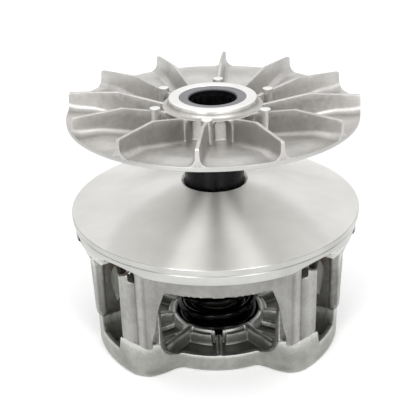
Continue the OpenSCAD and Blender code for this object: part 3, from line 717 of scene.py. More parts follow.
class Finish(Enum):
    """The finishes of the pulley's pieces."""

    # Tumbled casting: the palest skin, soft sheen, polished fin edges with a painted highlight, painted
    # shade in the creases
    FAN_CAST = CastAluminium("aluminium_die_cast_tumbled", "#B2B0AD", "#BEBCB9", "#C9C7C4")
    # Blasted casting: a mid grey skin; tower edges bright from wear and a painted highlight
    BODY_CAST = CastAluminium("aluminium_die_cast_blasted", "#83837F", "#908F8C", "#9D9D99")
    # Plain casting: a slightly green grey, dull in its pockets from painted shade
    COVER_CAST = CastAluminium("aluminium_die_cast_grey", "#8F908B", "#9D9E99", "#ABACA7")
    # Sand casting: coarse and matt; its dark tone is partly painted shade for the inside of the pulley
    SPIDER_CAST = CastAluminium(
        "aluminium_sand_cast", "#55554F", "#6B6B66", "#7E7E79", "#9A9A96", "#33332F", 0.55, 1.2, 0.12
    )
    # Finely turned: near white, with long wedges of light towards the shaft
    BELT_FACE = TurnedMetal()
    # Turned rim: a shade darker, its light less stretched
    RIM_TURNED = TurnedMetal("aluminium_rim_turned", "#ABABA8", "#C2C2BF", 0.3, 0.5, 0.8)
    # Turned edge: a soft, even grey line
    FAN_EDGE = TurnedMetal("aluminium_edge_turned", "#B0B0AE", "#C0C0BD", 0.42, 0.2, 0.9)
    # Faced hub: the brightest ring
    HUB_TURNED = TurnedMetal("aluminium_hub_faced", "#E4E3E1", "#F2F1EF", 0.34, 0.4, 0.9)
    # Faced steel: a darker, bluish grey beside the aluminium
    SHAFT_FACE = TurnedMetal("steel_shaft_faced", "#77767A", "#8E8D91", 0.38, 0.4, 0.7)
    # Black oxide in the bore: matt, close to black
    BORE_BLACK = SmoothCoat("steel_black_oxide_bore", "#050506", "#0C0C0E", 0.0, 0.42, gloss=0.2)
    # Black oxide on ground steel: black with a soft, upright highlight
    BLACK_OXIDE = SmoothCoat("steel_black_oxide", "#040405", "#0A0A0C", 0.0, 0.3, gloss=0.18)
    # Enamel: deep black with small, sharp arcs of light; the same black is painted shade over the inside of
    # the cover's spring cup
    SPRING_ENAMEL = SmoothCoat("spring_enamel_and_painted_cup_shade", "#020203", "#050506", 0.0, 0.12, gloss=0.12)
    # Ground steel: even, bright grey
    GROUND_STEEL = SmoothCoat("steel_ground", "#A9A9AA", "#C6C6C5", 1.0, 0.36, 3.0)
    # Zinc flake on a forging: matt and silvery; its near white colour is painted light that keeps it pale in
    # shade
    FORGED_STEEL = SmoothCoat("steel_forged_zinc_flake", "#E9E9E6", "#F6F5F2", 0.0, 0.5, 3.0, 0.5, 0.03)
    # Phosphated steel: charcoal, without shine
    DARK_STEEL = SmoothCoat("steel_phosphated", "#0C0C0D", "#19191B", 0.0, 0.5, 2.0, gloss=0.3)
    # Zinc plating: bright, slightly warm wire
    ZINC = SmoothCoat("steel_wire_zinc_plated", "#CFCEC7", "#EAE9E4", 1.0, 0.26, 1.5)
    # Sintered bronze: orange brown, with a fine open grain
    BRONZE = SmoothCoat("bronze_sintered", "#7E4B2A", "#B07A4C", 1.0, 0.42, 1.5, 0.3, 0.03)
    # Moulded polyimide: brownish black, satin
    POLYMER_BLACK = SmoothCoat("polyimide_moulded_black", "#1A1817", "#2A2725", 0.0, 0.45)
    # Moulded polyimide, unfilled: brown, satin
    POLYMER_BROWN = SmoothCoat("polyimide_moulded_brown", "#4A3524", "#6A4E36", 0.0, 0.5)
    # Woven liner: matt brown with a fine weave
    LINER = SmoothCoat("ptfe_liner_woven", "#3B352F", "#544C43", 0.0, 0.6, 1.0, 0.5, 0.04)

    def get(self) -> bpy.types.Material:
        """The finish's material, made once."""
        found = bpy.data.materials.get(self.value.name)
        return found or self.value.material()


# ---------- Fixed half ----------


@dataclass
class FanSheave:
    """The fixed sheave: a cast disc with twelve fins, posts and hub, turned on its belt side."""

    fins: int = 12
    first: float = 23.8  # degrees, turn of the fins about the shaft
    rim_r: float = 98.0
    knee_r: float = 64.0
    knee_rise: float = 15.3  # the fins' knee above the rim's lower edge
    tip_r: float = 96.0
    tip_rise: float = 14.5
    end_r: float = 97.94  # where the floor and the fins meet the rim's edge
    root_rise: float = 7.7
    web: float = 5.7
    rim_scoop: float = 2.7  # how far the floor dips to the rim between the fins
    slope: float = math.tan(math.radians(12.5))
    half_top: float = 1.2  # half a fin's thickness at its top
    draft: float = 0.045
    edge: float = 0.55  # rounding along a fin's top
    hub_r: float = 34.4
    hub_lean: float = 0.7  # how far the hub's wall leans out to its foot
    heel_h: float = 2.2
    neck_h: float = 3.2
    shelf_r: float = 31.9
    shelf_rise: float = 7.2
    ring_r: float = 29.5
    ring_rise: float = 12.4
    bore_r: float = 22.6
    niche_half: float = 5.7
    niche_depth: float = 6.0
    niche_edge: float = 2.0  # mm over which a niche's edge is rounded
    niche_rise: float = 1.6  # where a niche's arch springs, above the rim's lower edge
    post_r: float = 3.65
    post_pitch: float = 41.5
    post_rise: float = 11.3

    def __post_init__(self) -> None:
        """Reads the heights from the CAD node."""
        low, high = mm_box("fixed_sheave")
        self.rim_z = high[2] - self.knee_rise
        self.under_z = low[2]
        self.foot_r = self.hub_r + self.hub_lean

    def face_z(self, r: float | Array) -> float | Array:
        """Height of the belt face at radius r."""
        return self.rim_z - (self.rim_r - r) * self.slope

    def floor_z(self, r: float | Array) -> float | Array:
        """Height of the floor between the fins at radius r, without its dip to the rim."""
        return self.face_z(r) + self.web

    def ring_rows(self) -> Array:
        """The faced ring round the bore.

        Returns:
            Rows of (r, z).
        """
        ring_z = self.rim_z + self.ring_rise
        return rounded(
            [
                (self.bore_r, ring_z - 3.0, 0),
                (self.bore_r, ring_z, 0.4),
                (self.ring_r, ring_z, 0.5),
                (self.ring_r + 0.1, ring_z - 0.9, 0),
            ]
        )

    def hub_rows(self) -> Array:
        """The hub's outer side: a hollow neck, a shelf, a wall that leans out, and its heel.

        Returns:
            Rows of (r, z); the neck is a quarter of an ellipse.
        """
        shelf_z = self.rim_z + self.shelf_rise
        turn = np.linspace(0.0, 0.5 * math.pi, 9)[:, None]
        neck_r = self.ring_r + 0.25
        reach = neck_r + (self.shelf_r - self.ring_r - 0.25) * (1.0 - np.cos(turn))
        neck = np.hstack([reach, shelf_z + self.neck_h * (1.0 - np.sin(turn))])
        foot, foot_z = self.foot_r, self.floor_z(self.foot_r)
        shelf = rounded(
            [
                (self.shelf_r, shelf_z, 0),
                (self.shelf_r + 0.6, shelf_z, 0),
                (self.hub_r - 0.5, shelf_z, 1.6),
                (foot, foot_z, 0),
            ]
        )[1:-1]
        wall_foot = np.array([[foot, foot_z + self.heel_h]])
        wall = shelf[-1:] + (wall_foot - shelf[-1:]) * np.linspace(0.06, 1.0, 15)[:, None]
        heel = rounded(
            [
                (foot, foot_z + self.heel_h, 0),
                (foot, foot_z, 2.0),
                (foot + 2.6, self.floor_z(foot + 2.6), 0),
            ]
        )[1:]
        return np.vstack([neck, shelf, wall, heel])

    def floor_rows(self) -> Array:
        """The floor between the fins, with close rows at the fins' knee and rim end.

        Returns:
            Rows of (r, z): the floor's height less a dip to the rim by ease().
        """
        knee = self.knee_r + np.array([-2.0, -0.8, 0.0, 0.8, 2.0])
        end = [93.8, 95.2, 96.2, 96.9, 97.35, 97.6, 97.75, 97.84, 97.9, self.end_r]
        radii = np.concatenate([np.linspace(39.5, 60.0, 10), knee, np.linspace(68.0, 92.0, 11), end])
        dip = self.rim_scoop * ease((radii - 78.0) / 19.0)
        return np.stack([radii, self.floor_z(radii) - dip], axis=1)

    def rim_rows(self) -> Array:
        """The rim's edge, from the floor round to the belt face.

        Returns:
            Rows of (r, z).
        """
        top = self.rim_z + self.web - self.rim_scoop
        return rounded(
            [
                (self.end_r, top, 0),
                (self.rim_r, top - 0.1, 0),
                (self.rim_r, self.rim_z + 0.2, 0.5),
                (self.rim_r - 1.2, self.face_z(self.rim_r - 1.2), 0),
            ]
        )[1:]

    def profile(self) -> tuple[Array, Array]:
        """The section round which everything is turned, as a closed loop.

        Returns:
            Rows of (r, z), and each row's finish: 0 cast, 1 faced hub, 2 edge, 3 belt face.
        """
        face_r = np.linspace(94.0, 24.4, 10)
        face = np.stack([face_r, self.face_z(face_r)], axis=1)
        mouth = np.array([[24.0, self.under_z], [self.bore_r, self.under_z]])
        parts = [
            (self.ring_rows(), 1),
            (self.hub_rows(), 0),
            (self.floor_rows(), 0),
            (self.rim_rows(), 2),
            (face, 3),
            (mouth, 3),
        ]
        marks = np.concatenate([np.full(len(rows), mark) for rows, mark in parts])
        return np.vstack([rows for rows, _ in parts]), marks

    def fin_top(self, r: Array) -> Array:
        """Height of the fins' top edge: straight runs from root to knee to tip.

        Args:
            r: radii along a fin.

        Returns:
            Heights in millimetres.
        """
        places = [self.shelf_r, self.shelf_r + 2.5, self.knee_r, self.tip_r]
        rises = [self.shelf_rise, self.root_rise, self.knee_rise, self.tip_rise]
        return self.rim_z + np.interp(r, places, rises)

    def fin_end(self, r: Array) -> Array:
        """The height left to a fin at its rim end: a rounded corner, then a steep drop.

        Args:
            r: radii along a fin.

        Returns:
            Heights in millimetres.
        """
        places = [96.2, 96.9, 97.35, 97.6, 97.75, 97.84, 97.9, self.end_r]
        drops = [0.0, 0.1, 0.5, 1.6, 4.0, 7.0, 9.5, self.tip_rise]
        return self.rim_z + self.tip_rise - np.interp(r, places, drops, left=-20.0)

    def half_section(self, r: Array, rise: Array) -> tuple[Array, Array]:
        """Half of a fin's section and the floor beside it, at each row.

        Args:
            r: radius of each row.
            rise: how far the fin stands above the floor there.

        Returns:
            Angles from the fin's middle in radians and heights above the floor, rows by
            columns. The top is flat, its edge an arc, the side leans by the draft, the foot
            is a quarter circle that grows towards the rim, and the floor fills the rest.
        """
        r, rise = r[:, None], np.maximum(rise[:, None], 0.0)
        foot = np.interp(r, [34.0, 44.0, 80.0, 90.0, 97.5], [1.4, 3.2, 4.2, 4.8, 5.8])
        foot = np.minimum(foot, rise * 0.8)
        edge = np.minimum(self.edge, rise * 0.3)
        a = np.radians(np.array([[90.0, 60.0, 30.0, 0.0]]))
        top_d = self.half_top - edge + edge * np.cos(a)
        top_z = rise - edge + edge * np.sin(a)
        lean = self.half_top + self.draft * (rise - edge - foot)
        side = np.array([[0.35, 0.7]])
        side_d = self.half_top + (lean - self.half_top) * side
        side_z = (rise - edge) + (foot - rise + edge) * side
        b = np.radians(np.linspace(0.0, 90.0, 9))[None]
        foot_d = lean + foot - foot * np.cos(b)
        foot_z = foot - foot * np.sin(b)
        middle = np.zeros_like(rise)
        d = np.hstack([middle, top_d, side_d, foot_d])
        z = np.hstack([rise, top_z, side_z, foot_z])
        angle = np.arcsin(np.clip(d / r, 0.0, 0.25))
        limit = math.pi / self.fins
        rest = np.array([[0.12, 0.25, 0.38, 0.5, 0.62, 0.74, 0.86, 1.0]])
        floor_a = angle[:, -1:] + (limit - angle[:, -1:]) * rest
        return np.hstack([angle, floor_a]), np.hstack([z, np.zeros_like(floor_a)])

    def niche_dent(self, angle: Array, r: Array, z: Array) -> Array:
        """Depth of the arched niches in the hub's wall, one between each two fins.

        Args:
            angle: angles from a fin's middle in radians, rows by columns.
            r: radius of each row.
            z: height of each row.

        Returns:
            Depths, rows by columns: full inside an arch of half width niche_half, eased
            over niche_edge, and none off the hub's wall.
        """
        aside = (math.pi / self.fins - angle) * r[:, None]
        above = np.maximum(z[:, None] - self.rim_z - self.niche_rise, 0.0)
        inside = 0.5 + (self.niche_half - np.hypot(aside, above)) / self.niche_edge
        wall = (r > self.hub_r - 1.0) & (r < self.hub_r + 1.9) & (z < self.rim_z + self.shelf_rise - 0.4)
        return np.where(wall[:, None], self.niche_depth * ease(inside), 0.0)

    def surface(self) -> tuple[Array, Array]:
        """The whole turned surface with its fins and niches.

        Returns:
            A closed grid of rows by columns by 3, and the finish of each row.
        """
        rows, marks = self.profile()
        r, z = rows[:, 0], rows[:, 1]
        outer = np.arange(len(rows)) < np.flatnonzero(marks > 1)[0]
        fin_rows = (r > self.shelf_r) & outer & (marks == 0)
        rise = np.where(fin_rows, self.fin_top(r) - z, 0.0)
        angle, lift = self.half_section(r, rise)
        room = np.where(fin_rows, np.maximum(self.fin_end(r) - z, 0.0), 0.0)
        lift = np.minimum(lift, room[:, None])
        reach = r[:, None] - self.niche_dent(angle, r, z)
        height = z[:, None] + lift
        sector_a = np.hstack([-angle[:, :0:-1], angle[:, :-1]])
        sector_r = np.hstack([reach[:, :0:-1], reach[:, :-1]])
        sector_z = np.hstack([height[:, :0:-1], height[:, :-1]])
        turns = np.radians(self.first + np.arange(self.fins) * 360.0 / self.fins)
        a = (turns[None, :, None] + sector_a[:, None, :]).reshape(len(rows), -1)
        big_r = np.tile(sector_r, (1, self.fins))
        big_z = np.tile(sector_z, (1, self.fins))
        return polar(big_r, a, big_z), marks

    def posts(self, shell: Shell) -> None:
        """Adds the ejector posts: short round pegs with an eased edge.

        Args:
            shell: the sheave's shell.
        """
        low = self.face_z(self.post_pitch) + self.web * 0.5
        top = self.rim_z + self.post_rise
        peg = rounded([(0.0, low, 0), (self.post_r + 0.25, low, 0), (self.post_r, top, 0.35), (0.0, top, 0)])
        angles = np.linspace(0.0, 2.0 * np.pi, 28, endpoint=False)
        grid = turned(peg, angles)
        caps = np.where(np.arange(len(peg) - 1) < len(peg) - 3, 0, 1)
        for k in range(0, self.fins, 2):
            a = math.radians(self.first + k * 360.0 / self.fins)
            shell.add_grid(grid + polar(self.post_pitch, a, 0.0), caps)

    def build(self) -> bpy.types.Object:
        """Makes the sheave, which stands for its CAD node.

        Returns:
            The piece.
        """
        shell = Shell()
        grid, marks = self.surface()
        shell.add_grid(grid, marks, wrap_rows=True)
        self.posts(shell)
        names = (Finish.FAN_CAST, Finish.HUB_TURNED, Finish.FAN_EDGE, Finish.BELT_FACE)
        piece = shell.make("fan_sheave", [name.get() for name in names], sharp=42.0)
        mark_relief(piece)
        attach(piece, "fixed_half")
        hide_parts("fixed_sheave")
        return piece


@dataclass
class CoilSpring:
    """The primary spring: round wire in a glossy black coat, with a closed turn at each end."""

    wire: float = 2.7
    open_turns: float = 3.5
    end_turns: float = 1.0
    per_turn: int = 56
    sides: int = 18

    def build(self) -> bpy.types.Object:
        """Makes the wire.

        Returns:
            The piece.
        """
        low, high = mm_box("primary_spring")
        radius = high[0] - self.wire
        turns = self.open_turns + 2.0 * self.end_turns
        t = np.linspace(0.0, turns, int(turns * self.per_turn) + 1)
        coil = 2.0 * self.wire + 0.1
        low_z, high_z = low[2] + self.wire, high[2] - self.wire
        places = [0.0, self.end_turns, turns - self.end_turns, turns]
        heights = [low_z, low_z + self.end_turns * coil, high_z - self.end_turns * coil, high_z]
        z = np.interp(t, places, heights)
        path = polar(radius, 2.0 * np.pi * t, z)
        shell = Shell()
        shell.add_grid(capped(tube_along(path, self.wire, self.sides)))
        piece = shell.make("coil_spring", [Finish.SPRING_ENAMEL.get()])
        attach(piece, "fixed_half")
        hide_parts("primary_spring")
        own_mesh(piece)
        return piece


# ---------- Moving half ----------


@dataclass
class SlidingSheave:
    """The moving sheave: a turned disc over a cast skirt and towers."""

    slope: float = math.tan(math.radians(12.5))
    rim_h: float = 12.0
    side_h: float = 8.0  # the turned part of the rim's side
    foot_in: float = 1.6  # how far the rim's foot lies inside its top
    mouth_r: float = 23.6
    scallop_rise: float = 3.0
    scallop_half: float = 13.5  # degrees
    scallop_at: float = 18.0  # degrees from a pair's middle
    inset: float = 0.45  # the casting lies this far inside the turned disc
    voxel: float = 0.85
    tower_top: float = 84.0
    pillar_sides: tuple[float, float, float] = (10.0, 20.8, 26.8)  # degrees from a pair's middle
    pillar_rise: float = 2.2  # how far a pillar's crown stands out from its sides
    pillar_low: float = 1.2  # how far its sides are set back
    ridge_from: float = 21.0  # degrees from a pair's middle
    ridge_to: float = 40.0
    ridge_turn: float = 2.0  # degrees by which a ridge is turned outwards
    notch_in: float = 80.4
    notch_out: float = 97.0
    notch_top: float = 87.8

    def __post_init__(self) -> None:
        """Reads the disc's size from the CAD node."""
        high = mm_box("moving_sheave")[1]
        self.rim_r = high[0]
        self.mouth_z = high[2]
        self.rim_z = self.mouth_z - (self.rim_r - self.mouth_r) * self.slope
        self.low_z = self.rim_z - self.rim_h

    def lower_edge(self, angles: Array) -> Array:
        """Rise of the rim's lower edge: a low arch over each tower, 1 - u squared.

        Args:
            angles: directions in radians.

        Returns:
            Rises in millimetres.
        """
        rise = np.zeros_like(angles)
        for pair, side in TOWERS:
            middle = math.radians(pair + side * self.scallop_at)
            off = np.degrees(np.angle(np.exp(1j * (angles - middle))))
            arch = 1.0 - (off / self.scallop_half) ** 2
            rise = np.maximum(rise, self.scallop_rise * np.clip(arch, 0.0, 1.0))
        return rise

    def disc(self) -> bpy.types.Object:
        """Makes the turned disc: mouth, belt face and grooved rim over a plain underside.

        Returns:
            The piece.
        """
        top = self.rim_z
        rim = self.rim_r
        upper = rounded(
            [
                (self.mouth_r - 1.8, top - 4.0, 0),
                (self.mouth_r - 1.8, self.mouth_z - 1.3, 0.5),
                (self.mouth_r, self.mouth_z, 0.5),
                (rim - 0.3, top + 0.05, 0.25),
                (rim, top - 0.3, 0.2),
                (rim, top - 3.8, 0.5),
                (rim - 1.3, top - 4.4, 0.25),
                (rim - 1.3, top - 4.9, 0.25),
                (rim - 0.7, top - 5.4, 0.4),
                (rim - 1.0, top - self.side_h, 0),
            ]
        )
        far = np.flatnonzero(upper[:, 0] > rim - 1.0)[0]
        t = np.linspace(0.0, 1.0, 26)[1:-1, None]
        face = upper[far - 1] + (upper[far] - upper[far - 1]) * t
        upper = np.vstack([upper[:far], face, upper[far:]])
        lower = rounded(
            [
                (rim - 1.0, top - self.side_h, 0),
                (rim - self.foot_in, self.low_z, 0.9),
                (rim - 6.0, self.low_z + 0.4, 0.5),
                (rim - 12.0, self.low_z + 3.0, 0),
                (rim - 14.0, self.low_z + 6.0, 0),
            ]
        )[1:]
        profile = np.vstack([upper, lower])
        angles = np.linspace(0.0, 2.0 * np.pi, 480, endpoint=False)
        grid = turned(profile, angles)
        side_z = top - self.side_h
        share = ease((side_z - profile[:, 1]) / (side_z - self.low_z))
        share[: len(upper)] = 0.0
        share[-1] = 0.0
        grid[:, :, 2] += share[:, None] * self.lower_edge(angles)[None]
        marks = np.full(len(profile), 0)
        marks[far + len(face) :] = 1
        shell = Shell()
        shell.add_grid(grid, marks, wrap_rows=True)
        piece = shell.make("sliding_disc", [Finish.BELT_FACE.get(), Finish.RIM_TURNED.get()], 30.0)
        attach(piece, "moving_half")
        return piece

    def pair_angle(self, points: Array) -> Array:
        """Degrees between each point and the middle of the nearest pair of towers."""
        degrees = np.degrees(np.arctan2(points[:, 1], points[:, 0]))
        return from_nearest(degrees, PAIR_ANGLES)

    def crown(self, points: Array) -> tuple[Array, Array]:
        """The round pillars down a tower's outer face.

        Args:
            points: x, y and z of each point.

        Returns:
            The rise sqrt(1 - u squared) at each point, with u from -1 to 1 across a pillar,
            and how far the point belongs to a pillar's face, from 0 to 1.
        """
        r, off = np.hypot(points[:, 0], points[:, 1]), np.abs(self.pair_angle(points))
        first, between, last = self.pillar_sides
        near, far = np.where(off < between, first, between), np.where(off < between, between, last)
        u = np.clip((2.0 * off - near - far) / (far - near), -1.0, 1.0)
        on = ease((r - 83.0) / 3.0) * ease((90.0 - r) / 1.5) * ease((self.tower_top - points[:, 2]) / 4.0)
        return np.sqrt(1.0 - u * u), on * ((off > first) & (off < last))

    def notches(self) -> bpy.types.Object:
        """Makes the cutter for the towers' notched tops, where their pins are put in.

        Each wedge runs between two radii, with its lower side rising away from its pair's
        middle.

        Returns:
            The cutter, a piece of six closed wedges.
        """
        off = np.radians(np.array([10.1, 11.0, 14.0, 17.0, 19.0, 20.6]))
        low = np.array([73.0, 73.4, 75.6, 78.2, 80.6, 83.6])
        near, far = self.notch_in, self.notch_out
        r = np.broadcast_to([near, far, far, near], (len(off), 4))
        z = low[:, None] + np.array([0.0, 0.0, 1.0, 1.0]) * (self.notch_top - low[:, None])
        shell = Shell()
        for pair, side in TOWERS:
            shell.add_grid(capped(polar(r, math.radians(pair) + side * off[:, None], z)))
        return shell.make("notch_cutter", [])

    def tuck(self, points: Array) -> Array:
        """Fits the casting inside the disc and gives the towers their pillars and ridges.

        Args:
            points: x, y and z of each point.

        Returns:
            The points with z held under the belt face, the rim drawn in, the pillars' faces
            moved out by the crown's rise less their set-back, and the ridges turned outwards.
        """
        r = np.hypot(points[:, 0], points[:, 1])
        ceiling = self.mouth_z - (r - self.mouth_r) * self.slope - self.inset
        points[:, 2] = np.minimum(points[:, 2], ceiling)
        band = ease((points[:, 2] - self.low_z + 1.0) / 2.0)
        limit = self.rim_r - self.foot_in - self.inset * 2.0
        reach = np.where(r > limit, r + band * (limit - r), r)
        rise, on = self.crown(points)
        reach += on * (self.pillar_rise * rise - self.pillar_low)
        z, angle = points[:, 2], self.pair_angle(points)
        off = np.abs(angle)
        turn = self.ridge_turn * ease((r - 80.5) / 5.0) * ease((off - self.ridge_from) / 5.0)
        turn = turn * ease((self.ridge_to - off) / 6.0)
        turn *= ease((self.tower_top - z) / 6.0) * np.sign(angle)
        a = np.arctan2(points[:, 1], points[:, 0]) + np.radians(turn)
        return polar(reach, a, z)

    def painted_light(self, points: Array) -> Array:
        """Painted light added to the relief, from -1 painted shade to 1 painted highlight.

        Args:
            points: x, y and z of each point.

        Returns:
            Painted highlight on the pillars' crowns, painted shade on their sides, painted highlight
            on the strips beside the ridges, and painted light on the webs between two towers,
            brighter upwards.
        """
        rise, on = self.crown(points)
        off, z, r = np.abs(self.pair_angle(points)), points[:, 2], np.hypot(*points.T[:2])
        web = ease((z - 50.0) / 24.0) * ease((13.0 - off) / 3.0) * ease((r - 58.0) / 4.0)
        strip = ease(off - 24.5) * ease(31.5 - off) * ease((r - 70.0) / 2.0) * ease(83.5 - r)
        strip *= ease((48.0 - z) / 6.0)
        # Painted highlight on crowns, strips and upper webs; painted shade on the pillars' sides
        return on * (1.3 * rise - 1.0) + web + 2.6 * strip

    def casting(self) -> bpy.types.Object:
        """Makes the cast skirt and towers from the CAD node, kept inside the turned disc.

        Returns:
            The piece.
        """
        piece = cast_copy(
            "sliding_casting",
            "moving_sheave",
            self.voxel,
            rounds=3,
            keep=0.39,
            cutter=self.notches(),
            reshape=self.tuck,
        )
        dress(piece, Finish.BODY_CAST.get())
        # The casting's relief mark gets the painted highlight and shade of pillars, strips and webs
        mark_relief(piece, painted_tone=self.painted_light(points_of(piece)))
        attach(piece, "moving_half")
        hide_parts("moving_sheave")
        return piece


@dataclass(frozen=True)
class Rib:
    """A straight rib on the cover's floor, beside or along a line from the shaft."""

    half: float  # half its thickness
    start: float  # from the shaft to its inner end
    end: float
    top: float
    aside: float = 0.0  # from the line to its middle

    def depth(self, along: Array, across: Array) -> Array:
        """How far points lie inside it: the least distance to its four sides.

        Args:
            along: distance from the shaft along the line.
            across: distance from the line, on either side.

        Returns:
            Depths in millimetres, negative outside.
        """
        ends = np.minimum(along - self.start, self.end - along)
        return np.minimum(self.half - np.abs(across - self.aside), ends)


@dataclass
class EndCover:
    """The end cover: a lobed pan with a spring cup, ribs, bosses and rounded pockets."""

    lobe_r: float = 88.0
    front_r: float = 64.0
    lobe_a: float = 23.5  # degrees, half a lobe
    curve_a: float = 14.0  # degrees over which the wall swings out to a lobe
    floor: float = 3.0
    wall: float = 3.6
    front_h: float = 12.0
    ring_h: float = 14.3
    steep: float = 7.0  # slope of the walls' and ribs' sides
    fillet: float = 2.4
    edge: float = 1.0
    round: float = 1.4  # rounding of the lower edge
    cup_r: float = 30.0
    cup_wall: float = 2.8
    tube_wall: float = 4.0
    vee_half: float = 2.2  # half the notch in the cup's wall at each window's middle
    vee_floor: float = 6.4
    twin_rib: Rib = Rib(1.5, 31.0, 84.0, 6.0, 7.5)
    window_rib: Rib = Rib(1.35, 33.0, 63.0, 10.4)
    spoke: Rib = Rib(2.0, 31.0, 68.0, 11.8)
    spoke_a: float = 38.0  # degrees from a window's middle to its spokes
    pad_r: float = 36.5
    pad_at: float = 21.0  # degrees from a window's middle
    pad_half: float = 12.0  # degrees
    pad_top: float = 10.6
    pair_half: float = 15.0
    strip_r: float = 79.0  # the towers' outer face beside a window
    screw_pitch: float = 76.0
    screw_at: float = 18.0  # degrees from a pair's middle
    sink_r: float = 5.7  # counterbore of a screw's head
    sink_depth: float = 6.95
    columns: int = 540
    rows: int = 86

    def __post_init__(self) -> None:
        """Reads the bore and the heights from the CAD nodes."""
        high = mm_box("cover_bushing")[1]
        self.bore_r = high[0]
        self.tube_h = high[2]
        self.boss_h = mm_box("cover")[1][2]

    def outline(self, degrees: Array) -> Array:
        """Radius of the cover's edge: front walls that swing out to the lobes by ease().

        Args:
            degrees: directions from +X.

        Returns:
            Radii in millimetres.
        """
        off = np.abs(from_nearest(degrees, WINDOW_ANGLES))
        rise = ease((off - (60.0 - self.lobe_a - self.curve_a)) / self.curve_a)
        return self.front_r + (self.lobe_r - self.front_r) * rise

    def boss_plan(self) -> Array:
        """The boss under a tower, which follows the tower's foot.

        Returns:
            Its corners: distances along its pair's middle line, and across it.
        """
        tip = self.strip_r * np.array([math.cos(math.radians(30.0)), math.sin(math.radians(30.0))])
        inner = [[60.2, self.pair_half], [58.8, 22.6], [62.2, 29.9]]
        return np.array([[95.0, self.pair_half], [95.0, tip[1]], tip, *inner[::-1]])

    def raised(self, z: Array, depth: Array, top: float | Array) -> Array:
        """Adds a wall, rib or boss to a floor.

        Args:
            z: heights so far.
            depth: distance inside the shape's outline, negative outside.
            top: height of its top.

        Returns:
            Heights with the shape blended in by a fillet, its top edge rounded.
        """
        side = top + self.steep * (depth + 0.15)
        lump = soft_min(np.broadcast_to(top, z.shape), side, self.edge * 3.0)
        return soft_max(z, lump, self.fillet * 2.0)

    def wall_top(self, off: Array) -> Array:
        """Height of the outer wall: low before a window, sweeping up to a lip, then level.

        Args:
            off: degrees from the nearest window's middle.

        Returns:
            Heights in millimetres.
        """
        places = [25.5, 28.0, 29.0, 30.0, 31.0, 32.0, 48.0, 49.0]
        heights = [self.front_h, 14.0, 16.0, 19.0, 23.0, 24.9, 24.9, self.ring_h]
        return np.interp(off, places, heights)

    def with_ribs(self, z: Array, x: Array, y: Array, edge: Array) -> Array:
        """Adds the ribs, the spokes and the towers' bosses to the floor.

        Args:
            z: heights so far.
            x: place.
            y: place.
            edge: distance in from the outline.

        Returns:
            Heights in millimetres.
        """
        for pair, window in zip(PAIR_ANGLES, WINDOW_ANGLES):
            along, across = along_across(x, y, pair)
            z = self.raised(z, self.twin_rib.depth(along, across), self.twin_rib.top)
            rib_place = along_across(x, y, window)
            z = self.raised(z, self.window_rib.depth(*rib_place), self.window_rib.top)
            for turn in (-self.spoke_a, self.spoke_a):
                spoke_place = along_across(x, y, window + turn)
                z = self.raised(z, self.spoke.depth(*spoke_place), self.spoke.top)
            depth = depth_inside(along, across, self.boss_plan())
            z = self.raised(z, np.minimum(depth, edge + 3.0), self.boss_h - 0.05)
        return z

    def heights(self, x: Array, y: Array, edge: Array) -> Array:
        """Height of the cover's inner side at each point.

        Args:
            x: place.
            y: place.
            edge: distance in from the outline.

        Returns:
            Heights in millimetres.
        """
        r = np.hypot(x, y)
        degrees = np.degrees(np.arctan2(y, x))
        window_off = 60.0 - np.abs(from_nearest(degrees, PAIR_ANGLES))
        z = self.with_ribs(np.full_like(r, self.floor), x, y, edge)
        pads = np.minimum(self.pad_half - np.abs(window_off - self.pad_at), 6.0) * np.radians(1.0) * r
        z = self.raised(z, np.minimum(pads, self.pad_r - r), self.pad_top)
        z = self.raised(z, self.wall - edge, self.wall_top(window_off))
        ring = np.minimum(r - self.cup_r, self.cup_r + self.cup_wall - r)
        z = self.raised(z, ring, self.front_h)
        aside = np.abs(window_off * np.radians(1.0) * r)
        notch = soft_min(np.ones_like(r), (self.vee_half - aside) * 1.2 + 1.0, 0.8)
        in_ring = np.abs(r - self.cup_r - self.cup_wall / 2.0) < self.cup_wall / 2.0 + 2.0
        vee = np.where(in_ring & (notch > 0), np.clip(notch, 0, 1), 0.0)
        z = z - vee * np.maximum(z - self.vee_floor, 0.0)
        tube = self.bore_r + self.tube_wall - r
        inner = self.raised(np.full_like(r, self.floor), tube, self.tube_h)
        return np.where(r < self.cup_r, inner, z)

    def lean(self, degrees: Array) -> Array:
        """How much further in the lower edge lies than the top where the lobes begin."""
        off = np.abs(from_nearest(degrees, WINDOW_ANGLES))
        return np.interp(off, [24.0, 28.0, 33.0, 36.0, 39.0, 42.0], [0.0, 2.4, 3.6, 3.2, 1.0, 0.0])

    def underside(self, x: Array, y: Array) -> Array:
        """Height of the outer side: flat, with a counterbore for each screw's head.

        Args:
            x: place.
            y: place.

        Returns:
            Heights in millimetres.
        """
        z = np.zeros_like(x)
        for pair, side in TOWERS:
            a = math.radians(pair + side * self.screw_at)
            gone = np.hypot(x - self.screw_pitch * math.cos(a), y - self.screw_pitch * math.sin(a))
            z = np.maximum(z, np.clip((self.sink_r - gone) * 12.0, 0.0, self.sink_depth))
        return z

